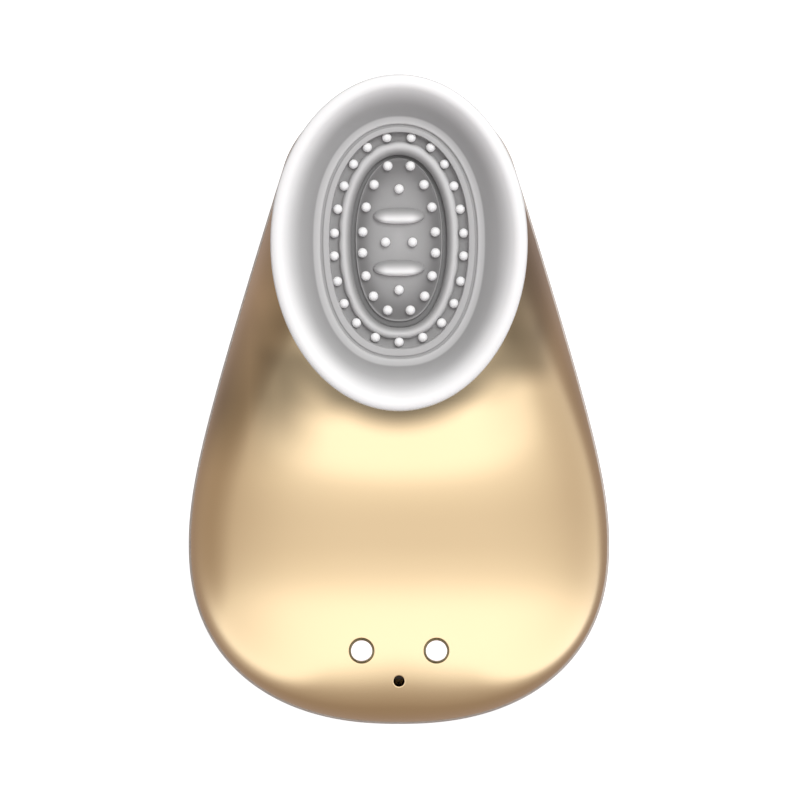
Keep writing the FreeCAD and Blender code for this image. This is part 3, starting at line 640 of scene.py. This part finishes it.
def scallops(count):
    """1 beside each nub of the trough and 0 halfway between two, for each point of an oval."""
    turn = 2 * np.pi * np.arange(count) / count
    middle = oval_y(TROUGH_Z) - inner_drop(TROUGH_MIDDLE, TROUGH_Z)
    nubs = sorted(math.atan2(x / TROUGH_MIDDLE, (middle - y) / oval_b(TROUGH_MIDDLE)) % (2 * math.pi)
                  for x, y in both_sides(TROUGH_NUBS))
    phase = np.interp(turn, nubs + [2 * math.pi], range(len(nubs) + 1))
    return (0.5 + 0.5 * np.cos(2 * np.pi * phase)) ** 1.5


def oval_sweep(build, profile, count):
    """The cup's section swept round its ovals, with the roll hollowed beside each nub."""
    wave = scallops(count)
    made = []
    for a, z in profile:
        hollow = 8.6 < a < 9.5 and z > CUP_FLOOR_Z
        scallop = 0.2 * max(0.0, 1.0 - abs(a - TROUGH_INNER) / 0.7) if hollow else 0.0
        wide = a - scallop * wave
        middle = oval_y(z) - inner_drop(a, z)
        x, y = full_oval(middle, wide, oval_b(wide), inner_fullness(a, z), count)
        # Painted shade on the cup from the table above. Below the floor it is a plain 0.8.
        build.tone = float(np.interp(a, *zip(*CUP_PAINTED_SHADE))) if z > CUP_FLOOR_Z else 0.8
        made.append(build.add(ring_at(x, y, z)))
    for a, b in zip(made, made[1:] + made[:1]):
        build.band(a, b)


def nub(build, x, y, floor, count=28):
    """A round pimple with a small foot where it meets the floor."""
    r, foot_radius = NUB_RADIUS, NUB_RADIUS * 1.22
    centre = floor + 0.6 * r
    profile = [(foot_radius, floor - 0.03), (r * 1.04, floor + 0.03), (r * 0.94, floor + 0.12)]
    for k in range(12):
        angle = math.radians(-20 + 110 * k / 12)
        profile.append((r * math.cos(angle), centre + r * math.sin(angle)))
    rings = [upright_ring((x, y, a, a, count), 0.0, z) for a, z in profile]
    # Painted shade darkens the foot of each pimple. Its round top is painted near white.
    build.tone = 0.3
    foot = build.stack([upright_ring((x, y, foot_radius, foot_radius, count), 0.0, floor - 0.25)] + rings[:2])
    build.tone = 0.97
    made = build.stack(rings[2:])
    build.band(foot[-1], made[0])
    build.cap(made[-1])
    build.cap(foot[0])


def massage_cup():
    build = Build()
    oval_sweep(build, cup_profile(), CUP_COUNT)
    build.tone = 0.95
    for x, y in both_sides(TROUGH_NUBS):
        nub(build, x, y, TROUGH_Z)
    piece("silicone_cup", build, "cup", "silicone", ["massage_cup"])


def ridge(build, y, floor):
    """A blunt rib across the pad, with its crest towards the tail."""
    long, wide, height = 3.95, 1.25, 1.4
    root, tilt = 0.2, 0.42
    stations, across = 57, 25
    rows = []
    for i in range(stations):
        x = -long * math.cos(math.pi * i / (stations - 1))
        end = max(1.0 - abs(x / long) ** 2.5, 0.0)
        w = wide * end ** (1 / 2.2)
        top = height * end ** (1 / 2.5)
        row = []
        for j in range(across):
            v = -math.cos(math.pi * j / (across - 1))
            rise = (1 - abs(v) ** 1.9) ** (1 / 1.9)
            row.append((x, y + w * (v - tilt * (1 - v * v)), floor - root + (top + root) * rise))
        rows.append(build.add(row))
        for j, corner in enumerate(rows[-1]):
            v = -math.cos(math.pi * j / (across - 1))
            # Painted highlight on the crest half towards the tail, fading towards the ends. The rest of the
            # rib is painted in shade.
            lit = (1.0 - eased((v + 0.2) / 1.1)) * (1.0 - eased((abs(x) / long - 0.45) / 0.55))
            build.painted_shades[corner] = 0.33 + 0.65 * lit
    for a, b in zip(rows, rows[1:]):
        build.band(a, b, closed=False)
    rim = [r[0] for r in rows] + [r[-1] for r in reversed(rows)]
    build.faces.append(tuple(rim))


def massage_pad():
    build = Build()

    def oval(a, z, flat=False):
        """A ring of the pad. Its edge leans with the cup's mouth and keeps clear of it."""
        b = oval_b(PAD_FLAT) * a / PAD_FLAT if flat else oval_b(a)
        middle = DRIVE_Y + (oval_y(z) - 0.03 - DRIVE_Y) * eased((a - 6.4) / 0.6)
        above_stem = z > 40.95 or a > 5.0
        if above_stem:
            middle -= inner_drop(max(a, 7.62), CUP_FLOOR_Z)
        x, y = full_oval(middle, a, b, 1.0 if above_stem else 0.0, PAD_COUNT)
        # Painted shade on the pad, by distance from its middle.
        build.tone = float(np.interp(a, *zip(*PAD_PAINTED_SHADE)))
        return build.add(ring_at(x, y, z))

    lip = rounded([(7.2, 40.9), (7.45, 41.0), (7.45, 42.05), (7.0, 42.15), (6.74, 42.25), (6.64, 42.62),
                   (6.5, 42.62), (6.42, PAD_Z), (PAD_FLAT, PAD_Z)], 0.08)
    made = [oval(3.6, 36.9), oval(4.4, 36.9), oval(4.4, 40.9)] + [oval(a, z) for a, z in lip]
    made += [oval(PAD_FLAT * k / 16, PAD_Z, flat=True) for k in range(15, 0, -1)]
    for a, b in zip(made, made[1:]):
        build.band(a, b)
    build.cap(made[0])
    build.cap(made[-1])
    build.tone = 0.95
    for y in (DRIVE_Y + 3.2, DRIVE_Y - 4.8):
        ridge(build, y, PAD_Z)
    for x, y in both_sides(PAD_NUBS):
        nub(build, x, y, PAD_Z)
    piece("silicone_pad", build, "pad", "silicone", ["massage_pad"])


def pad_bellows():
    """A thin waisted sleeve from the cup up to the pad."""
    build = Build()
    profile = []
    for k in range(13):
        t = k / 12
        profile.append((7.2 - 0.5 * math.sin(math.pi * t), 38.0 + 2.9 * t))
    profile += [(a - 0.4, z) for a, z in reversed(profile)]
    build.stack([ring_at(*ellipse(0.0, DRIVE_Y, a, oval_b(a), SLEEVE_COUNT), z) for a, z in profile],
                closed=True)
    made = piece("bellows_sleeve", build, None, "silicone", ["pad_bellows"])
    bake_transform(made)


# ---- Turned pieces ----
def turned(x, y, profile, count=72, closed=False):
    """A turned form. Each profile entry is a radius and a height, or a radius and a surface."""
    build = Build()
    made = build.stack([ring_at(*ellipse(x, y, radius, radius, count), level) for radius, level in profile],
                       closed)
    if not closed:
        build.cap(made[0])
        build.cap(made[-1])
    return build


def on_surface(surface, inset, offset=0.0):
    """A level for turned() and tube(): the height of a body surface at each point, plus an offset."""
    return lambda px, py: surface(px, py, inset) + offset


def contact(side):
    """A charging contact that stands a little proud and follows the skin."""
    edge, proud = 0.16, 0.15
    profile = [(r, on_surface(front_z, -proud)) for r in (0.5, 1.0, 1.3, CONTACT_RADIUS - edge)]
    for k in range(1, 5):
        turn = math.pi / 2 * k / 4
        profile.append((CONTACT_RADIUS - edge * (1 - math.sin(turn)),
                        on_surface(front_z, -proud, -edge * (1 - math.cos(turn)))))
    profile += [(CONTACT_RADIUS, 27.2), (2.4, 27.2), (2.4, 26.0), (0.9, 26.0), (0.9, BOARD_TOP + 0.02)]
    build = turned(side * CONTACT_X, CONTACT_Y, profile)
    name = "left" if side < 0 else "right"
    piece(f"contact_{name}", build, "housing", "contact_plate", [f"charge_contact_{name}"])


def contact_seals():
    build = Build()
    for side in (-1, 1):
        inner, outer = CONTACT_RADIUS + 0.005, CONTACT_HOLE - 0.005
        made = turned(side * CONTACT_X, CONTACT_Y, [
            (inner, 27.25), (inner, on_surface(front_z, 0.55)),
            (inner + 0.06, on_surface(front_z, 0.5)), (outer - 0.06, on_surface(front_z, 0.5)),
            (outer, on_surface(front_z, 0.55)), (outer, 28.4), (3.0, 28.4), (3.0, 27.25)], closed=True)
        build.join(made.points, made.faces)
    piece("contact_seal_rings", build, "housing", "dark_seal", ["contact_seals"])


def light_pipe():
    r = LAMP_RADIUS - 0.01
    top = on_surface(front_z, 1.0)
    build = turned(0.0, LAMP_Y, [(0.3, top), (0.6, top), (r - 0.06, top), (r, on_surface(front_z, 1.06)),
                                 (r, 23.0), (1.5, 23.0), (1.5, BOARD_TOP + 0.7)], 48)
    piece("lamp_lens", build, "housing", "smoked_lens", ["light_pipe"])


def button(name):
    """A round push button with a shallow dish for the fingertip."""
    edge, proud = 0.6, 0.5
    reach = BUTTON_RADIUS - edge
    profile = []
    for k in range(1, 10):
        r = reach * k / 9
        dish = 0.32 * (0.5 + 0.5 * math.cos(math.pi * min(r / (reach * 0.94), 1.0)))
        profile.append((r, on_surface(back_z, -proud, dish)))
    for k in range(1, 7):
        turn = math.pi / 2 * k / 6
        profile.append((BUTTON_RADIUS - edge * (1 - math.sin(turn)),
                        on_surface(back_z, -proud, edge * (1 - math.cos(turn)))))
    profile += [(BUTTON_RADIUS, BUTTON_STOP_Z), (4.7, BUTTON_STOP_Z), (4.7, 9.3), (1.5, 9.3), (1.5, 9.65)]
    build = turned(0.0, BUTTONS[name], profile, 96)
    piece(f"{name}_cap", build, name, "button_silicone", [name])


def spring(name, y, z0, z1, radius, wire, turns=3):
    """A compression spring with closed ends from one height to another, attached to no body."""
    build = Build()
    total = turns * 40
    rings = []
    for i in range(total + 1):
        t = i / total
        angle = 2 * math.pi * turns * t
        ease = clamped((t * turns - 0.3) / (turns - 0.6))
        z = z0 + wire / 2 + (z1 - z0 - wire) * ease
        ring = []
        for k in range(12):
            c, s = math.cos(math.pi * k / 6), math.sin(math.pi * k / 6)
            r = radius + wire / 2 * c
            ring.append((r * math.cos(angle), y + r * math.sin(angle), z + wire / 2 * s))
        rings.append(ring)
    made = build.stack(rings)
    build.cap(made[0])
    build.cap(made[-1])
    coil = piece(f"{name}_coil", build, None, "spring_steel", [name])
    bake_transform(coil)


def battery_foam():
    """A pressed foam cushion whose sides bulge a little between its faces."""
    low, high = (np.array(corner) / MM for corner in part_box("battery_pad"))
    middle, half = (low + high) / 2, (high - low) / 2
    build = Build()
    around, rings = 96, []
    for k in range(13):
        t = -1 + 2 * k / 12
        pull = 1 - 0.02 - 0.05 * abs(t) ** 3
        ring = []
        for i in range(around):
            c, s = math.cos(2 * math.pi * i / around), math.sin(2 * math.pi * i / around)
            ring.append((middle[0] + half[0] * pull * math.copysign(abs(c) ** 0.2, c),
                         middle[1] + half[1] * pull * math.copysign(abs(s) ** 0.2, s),
                         middle[2] + half[2] * 0.98 * math.sin(math.pi / 2 * t)))
        rings.append(ring)
    made = build.stack(rings)
    for ring, way in ((made[0], -1), (made[-1], 1)):
        inner = ring
        for shrink in (0.8, 0.55, 0.3):
            level = middle[2] + way * half[2] * (0.98 + 0.02 * (1 - shrink))
            points = [(middle[0] + (build.points[i][0] - middle[0]) * shrink,
                       middle[1] + (build.points[i][1] - middle[1]) * shrink, level) for i in ring]
            following = build.add(points)
            build.band(inner, following)
            inner = following
        build.cap(inner)
    made = piece("battery_foam", build, "housing", "foam", ["battery_pad"])


# ---- Materials ----
class Graph:
    """An empty node tree to be filled."""

    def __init__(self, owner):
        owner.use_nodes = True
        self.tree = owner.node_tree
        self.tree.nodes.clear()

    def node(self, kind, **values):
        return self.adjust(self.tree.nodes.new(kind), **values)

    def adjust(self, node, **values):
        """Each value goes to the node's input of that name, or else is a setting of the node."""
        for key, value in values.items():
            name = key.replace("_", " ")
            if name in node.inputs:
                node.inputs[name].default_value = value
            else:
                setattr(node, key, value)
        return node

    def link(self, a, b):
        self.tree.links.new(a, b)

    def ramp(self, source, stops):
        made = self.node("ShaderNodeValToRGB")
        ramp = made.color_ramp
        while len(ramp.elements) < len(stops):
            ramp.elements.new(0.5)
        for element, (at, colour) in zip(ramp.elements, stops):
            element.position = at
            element.color = tuple(colour) + (1.0,)
        self.link(source, made.inputs["Fac"])
        return made.outputs["Color"]


class Look(Graph):
    """A node material built round one Principled shader."""

    def __init__(self, name):
        self.material = bpy.data.materials.new(name)
        super().__init__(self.material)
        self.shader = self.node("ShaderNodeBsdfPrincipled")
        out = self.node("ShaderNodeOutputMaterial")
        self.link(self.shader.outputs[0], out.inputs[0])
        self.coords = self.node("ShaderNodeTexCoord").outputs["Object"]

    def set(self, **values):
        self.adjust(self.shader, **values)

    def noise(self, scale, detail=3.0, stretch=(1.0, 1.0, 1.0)):
        source = self.coords
        if stretch != (1.0, 1.0, 1.0):
            mapping = self.node("ShaderNodeMapping", Scale=stretch)
            self.link(source, mapping.inputs["Vector"])
            source = mapping.outputs[0]
        made = self.node("ShaderNodeTexNoise", Scale=scale, Detail=detail)
        self.link(source, made.inputs["Vector"])
        return made.outputs["Fac"]

    def spread(self, source, low, high, start=0.3, end=0.7):
        made = self.node("ShaderNodeMapRange", From_Min=start, From_Max=end, To_Min=low, To_Max=high)
        self.link(source, made.inputs["Value"])
        return made.outputs["Result"]

    def colour(self, source):
        self.link(source, self.shader.inputs["Base Color"])

    def roughness(self, source, low, high):
        self.link(self.spread(source, low, high), self.shader.inputs["Roughness"])

    def bump(self, source, height, strength=1.0):
        made = self.node("ShaderNodeBump", Strength=strength, Distance=height)
        self.link(source, made.inputs["Height"])
        self.link(made.outputs["Normal"], self.shader.inputs["Normal"])

    def height(self):
        made = self.node("ShaderNodeSeparateXYZ")
        self.link(self.coords, made.inputs[0])
        return made.outputs["Z"]


def srgb(r, g, b):
    def channel(v):
        v /= 255.0
        return v / 12.92 if v <= 0.04045 else ((v + 0.055) / 1.055) ** 2.4
    return channel(r), channel(g), channel(b)


def varied(name, low, high, rough, scale, bump=0.0, metal=0.0, stretch=(1.0, 1.0, 1.0), **more):
    """A moulded or metal finish with fine grain in its colour, gloss and surface."""
    look = Look(name)
    grain = look.noise(scale, 4.0, stretch)
    look.colour(look.ramp(grain, [(0.32, low), (0.68, high)]))
    look.roughness(grain, *rough)
    look.set(Metallic=metal, **more)
    if bump:
        look.bump(grain, bump)
    return look.material


def varied_with_painted_shade(look, low, high, scale):
    """A colour with broad soft variation, darkened by the painted shade of each point."""
    colour = look.ramp(look.noise(scale, 2.0), [(0.3, low), (0.7, high)])
    tone = look.node("ShaderNodeAttribute", attribute_name="tone")
    both = look.node("ShaderNodeVectorMath", operation="SCALE")
    look.link(colour, both.inputs[0])
    look.link(tone.outputs["Fac"], both.inputs["Scale"])
    look.colour(both.outputs[0])


def gold():
    look = Look("champagne_gold")
    # The gold's colour with broad variation, darkened by the painted shade of each point.
    varied_with_painted_shade(look, (0.758, 0.630, 0.375), (0.772, 0.647, 0.393), 28.0)
    fine = look.noise(2600.0, 3.0)
    look.roughness(fine, 0.17, 0.21)
    look.set(Metallic=1.0, Coat_Weight=0.06, Coat_Roughness=0.12)
    look.bump(fine, 0.000004, 0.35)
    return look.material


def silicone():
    look = Look("white_silicone")
    # The silicone's white is darkened by the painted shade of each point: grey in the hollows, pale on the
    # rim, crests and pimples.
    varied_with_painted_shade(look, (0.985, 0.985, 0.985), (1.0, 1.0, 1.0), 300.0)
    fine = look.noise(1800.0, 3.0)
    look.roughness(fine, 0.40, 0.50)
    look.set(Subsurface_Weight=0.06, Subsurface_Scale=0.0008, Subsurface_Radius=(1.0, 0.9, 0.8),
             Sheen_Weight=0.04, Sheen_Roughness=0.4)
    look.bump(fine, 0.000006, 0.4)
    return look.material


def copper():
    """Enamelled wire wound in close turns round an upright axis."""
    look = Look("enamelled_copper")
    turns = look.node("ShaderNodeMath", operation="MULTIPLY")
    turns.inputs[1].default_value = 2 * math.pi / 0.00032
    look.link(look.height(), turns.inputs[0])
    wave = look.node("ShaderNodeMath", operation="SINE")
    look.link(turns.outputs[0], wave.inputs[0])
    level = look.spread(wave.outputs[0], 0.0, 1.0, -1.0, 1.0)
    # Painted shade: the colour darkens into the groove between turns, in step with the bump.
    look.colour(look.ramp(level, [(0.0, (0.22, 0.06, 0.02)), (1.0, (0.68, 0.27, 0.11))]))
    look.set(Metallic=1.0, Roughness=0.3, Coat_Weight=0.4, Coat_Roughness=0.2)
    look.bump(level, 0.00008)
    return look.material


def board():
    """Green solder mask over faint copper runs."""
    look = Look("solder_mask")
    bricks = look.node("ShaderNodeTexBrick", Scale=260.0, Color1=(0.006, 0.060, 0.028, 1.0),
                       Color2=(0.007, 0.075, 0.034, 1.0), Mortar=(0.012, 0.130, 0.060, 1.0), Mortar_Size=0.03)
    look.link(look.coords, bricks.inputs["Vector"])
    look.colour(bricks.outputs["Color"])
    look.roughness(look.noise(1500.0), 0.25, 0.36)
    look.set(Coat_Weight=0.5, Coat_Roughness=0.15)
    look.bump(bricks.outputs["Fac"], 0.00002)
    return look.material


# Slot: name, dark and light colour, roughness range, grains per metre, depth of the grain, metal, stretch.
FINISHES = {
    "silicone_pale": ("pale_seal", srgb(196, 188, 181), srgb(212, 203, 196),
                      (0.42, 0.52), 1900.0, 0.000008),
    "button_silicone": ("button_rubber", srgb(206, 203, 198), srgb(212, 209, 204),
                        (0.46, 0.54), 2200.0, 0.000003),
    # A real seal ring round each contact, coloured olive as painted shade of the gap between contact and
    # gold.
    "dark_seal": ("painted_gap_shade_seal", srgb(150, 144, 114), srgb(164, 156, 126), (0.5, 0.62), 1900.0, 0.000008),
    "contact_plate": ("plated_contact", (0.93, 0.93, 0.93), (0.97, 0.97, 0.96),
                      (0.20, 0.28), 2500.0, 0.000002, 1.0),
    "steel": ("stainless_steel", (0.50, 0.50, 0.50), (0.60, 0.60, 0.59), (0.26, 0.38), 500.0, 0.000004, 1.0,
              (1.0, 8.0, 1.0)),
    "spring_steel": ("spring_wire", (0.42, 0.42, 0.43), (0.56, 0.56, 0.56),
                     (0.22, 0.32), 900.0, 0.000003, 1.0),
    "magnet": ("nickel_magnet", (0.55, 0.55, 0.53), (0.66, 0.66, 0.64), (0.16, 0.26), 700.0, 0.000003, 1.0),
    "tungsten": ("tungsten_weight", (0.20, 0.20, 0.21), (0.28, 0.28, 0.29),
                 (0.38, 0.5), 1400.0, 0.000006, 1.0),
    "black_plastic": ("black_plastic", (0.012, 0.012, 0.013), (0.022, 0.022, 0.024),
                      (0.42, 0.55), 1600.0, 0.00001),
    "grey_plastic": ("grey_plastic", (0.20, 0.20, 0.21), (0.26, 0.26, 0.27), (0.42, 0.55), 1400.0, 0.00001),
    "chips": ("chip_packages", (0.010, 0.010, 0.011), (0.020, 0.020, 0.022), (0.5, 0.6), 2400.0, 0.000008),
    "cell_foil": ("cell_foil", (0.58, 0.59, 0.61), (0.70, 0.71, 0.73), (0.24, 0.40), 420.0, 0.00003, 1.0),
    "foam": ("charcoal_foam", (0.03, 0.03, 0.032), (0.07, 0.07, 0.074), (0.8, 0.95), 2100.0, 0.0001),
    "red_wire": ("red_wire", (0.42, 0.02, 0.015), (0.52, 0.03, 0.02), (0.34, 0.44), 1200.0, 0.000006),
    "white_wire": ("white_wire", (0.62, 0.61, 0.58), (0.74, 0.73, 0.70), (0.34, 0.44), 1200.0, 0.000006),
}
MATERIALS = {
    "gold_shell": gold(),
    "silicone": silicone(),
    "white_shell": varied("ivory_plastic", srgb(238, 234, 227), srgb(242, 239, 233),
                          (0.30, 0.36), 1500.0, 0.000002, Coat_Weight=0.3),
    "smoked_lens": varied("smoked_lens", (0.004, 0.003, 0.003), (0.008, 0.006, 0.005),
                          (0.10, 0.16), 900.0, IOR=1.38),
    "copper": copper(),
    "board": board(),
}
MATERIALS.update((slot, varied(*finish)) for slot, finish in FINISHES.items())

# ---- Pieces ----
front_shell()
rear_shell()
seam_gasket()
massage_cup()
massage_pad()
pad_bellows()
for side in (-1, 1):
    contact(side)
contact_seals()
light_pipe()
for name in BUTTONS:
    button(name)
spring("return_spring", DRIVE_Y, 28.5, 33.0, radius=9.7, wire=0.8)
for name, y in BUTTONS.items():
    spring(f"{name}_spring", y, 9.3, 13.3, radius=4.1, wire=0.45)
battery_foam()

# The nodes that no piece stands for keep their CAD shape and take the material of their slot.
for entry in frame["record"]["subparts"]:
    thing = nodes[entry["node"]]
    if not thing.hide_render:
        thing.data.materials.clear()
        thing.data.materials.append(MATERIALS[entry["material_slot"]])


# ---- Studio ----
def studio():
    mesh = bpy.data.meshes.new("floor")
    mesh.from_pydata([(-30, -30, 0), (30, -30, 0), (30, 30, 0), (-30, 30, 0)], [], [(0, 1, 2, 3)])
    floor = bpy.data.objects.new("floor", mesh)
    bpy.context.scene.collection.objects.link(floor)
    floor.location.z = -0.0002
    look = Look("floor_paint")
    grain = look.noise(3.0)
    look.colour(look.ramp(grain, [(0.3, (0.93, 0.93, 0.93)), (0.7, (0.95, 0.95, 0.95))]))
    look.set(Roughness=0.9, Emission_Strength=0.62, Emission_Color=(1, 1, 1, 1))
    mesh.materials.append(look.material)
    floor.visible_glossy = False
    floor.visible_diffuse = False


def fill_light():
    """A soft rectangular light above the head end that shows in no reflection."""
    data = bpy.data.lights.new("fill", "AREA")
    data.shape = "RECTANGLE"
    data.size, data.size_y = 1.0, 0.8
    data.energy = 16.5
    light = bpy.data.objects.new("fill", data)
    bpy.context.scene.collection.objects.link(light)
    way = Vector((0.3, 0.55, 1.0)).normalized()
    light.location = Vector((0.0, 0.0, 0.03)) + way * 1.5
    light.rotation_mode = "QUATERNION"
    light.rotation_quaternion = way.to_track_quat("Z", "Y")
    light.visible_camera = False
    light.visible_glossy = False


class Surround(Graph):
    """The studio's light as a function of direction, in nodes."""

    def __init__(self, owner):
        super().__init__(owner)
        split = self.node("ShaderNodeSeparateXYZ")
        self.link(self.node("ShaderNodeTexCoord").outputs["Generated"], split.inputs[0])
        self.x, self.y, self.z = split.outputs

    def math(self, operation, *values):
        made = self.node("ShaderNodeMath", operation=operation)
        for socket, value in zip(made.inputs, values):
            if isinstance(value, (int, float)):
                socket.default_value = value
            else:
                self.link(value, socket)
        return made.outputs[0]

    def curve(self, source, stops):
        """A run of straight lines over -1 to 1 through (place, value from 0 to 1)."""
        return self.ramp(self.math("MULTIPLY_ADD", source, 0.5, 0.5),
                         [((place + 1) / 2, (value, value, value)) for place, value in stops])


def world():
    """A broad soft window in front of the tail and above it, dim and warm all round. Reflections see
    this window, diffuse rays see a plain soft room, and the camera sees white."""
    made = bpy.data.worlds.new("surround")
    bpy.context.scene.world = made
    sky = Surround(made)
    reach = sky.curve(sky.x, [(-1.0, 0.2), (-0.94, 0.30), (-0.87, 0.38), (-0.77, 0.42), (-0.64, 0.34),
                              (-0.5, 0.27), (-0.34, 0.12), (0.0, 0.0), (0.34, 0.12), (0.5, 0.27),
                              (0.64, 0.44), (0.77, 0.64), (0.87, 0.78), (0.94, 0.88), (1.0, 0.94)])
    tail = sky.math("MAXIMUM", sky.math("MULTIPLY", sky.y, -1.0), 0.0)
    widen = sky.math("MULTIPLY", sky.math("MULTIPLY", reach, reach), sky.math("MULTIPLY", tail, 6.0))
    lower = sky.math("ADD", sky.math("ADD", sky.z, sky.math("MULTIPLY", reach, 1.5)), widen)
    lower = sky.curve(sky.math("SUBTRACT", lower, 0.26),
                      [(-0.7, 0.0), (-0.6, 0.03), (-0.43, 0.08), (-0.26, 0.14), (-0.09, 0.25), (0.08, 0.5),
                       (0.24, 0.78), (0.38, 1.0)])
    side = sky.curve(sky.x, [(-1.0, 0.50), (-0.94, 0.60), (-0.87, 0.68), (-0.77, 0.77), (-0.64, 0.88),
                             (-0.5, 0.95), (-0.3, 1.0), (0.5, 1.0), (0.64, 0.97), (0.77, 0.93), (0.87, 0.87),
                             (0.94, 0.8), (1.0, 0.70)])
    front = sky.curve(sky.math("MULTIPLY", sky.y, -1.0),
                      [(-1.0, 0.10), (-0.5, 0.20), (-0.17, 0.38), (0.0, 0.50), (0.17, 0.63), (0.34, 0.93),
                       (0.44, 1.0), (1.0, 1.0)])
    level = sky.math("MULTIPLY", sky.math("MULTIPLY", lower, side), sky.math("MULTIPLY", front, 1.26))
    scale = sky.node("ShaderNodeVectorMath", operation="SCALE")
    scale.inputs[0].default_value = (1.0, 0.985, 1.07)
    sky.link(level, scale.inputs["Scale"])
    total = sky.node("ShaderNodeVectorMath", operation="ADD")
    total.inputs[1].default_value = (0.40, 0.30, 0.255)
    sky.link(scale.outputs[0], total.inputs[0])
    light = sky.node("ShaderNodeBackground")
    sky.link(total.outputs[0], light.inputs["Color"])
    soft = sky.node("ShaderNodeBackground")
    room = sky.curve(sky.z, [(-1.0, 0.62), (-0.25, 0.58), (0.1, 0.34), (1.0, 0.34)])
    sky.link(room, soft.inputs["Color"])
    white = sky.node("ShaderNodeBackground", Color=(1.0, 1.0, 1.0, 1.0))
    path = sky.node("ShaderNodeLightPath")
    shown = light.outputs[0]
    for ray, plain in (("Is Diffuse Ray", soft), ("Is Camera Ray", white)):
        mix = sky.node("ShaderNodeMixShader")
        sky.link(path.outputs[ray], mix.inputs[0])
        sky.link(shown, mix.inputs[1])
        sky.link(plain.outputs[0], mix.inputs[2])
        shown = mix.outputs[0]
    sky.link(shown, sky.node("ShaderNodeOutputWorld").inputs[0])


def camera():
    """Straight above, with the tail towards the bottom of the picture."""
    data = bpy.data.cameras.new("camera")
    distance, seam_height, seen = 5.6, 0.015, 0.1232
    data.sensor_width = 36.0
    data.lens = data.sensor_width * (distance - seam_height) / seen
    data.clip_start, data.clip_end = 0.1, 100.0
    made = bpy.data.objects.new("camera", data)
    bpy.context.scene.collection.objects.link(made)
    made.location = (0.00015, 0.0, distance)
    bpy.context.scene.camera = made


studio()
world()
camera()
fill_light()
bpy.context.scene.view_settings.view_transform = "Standard"
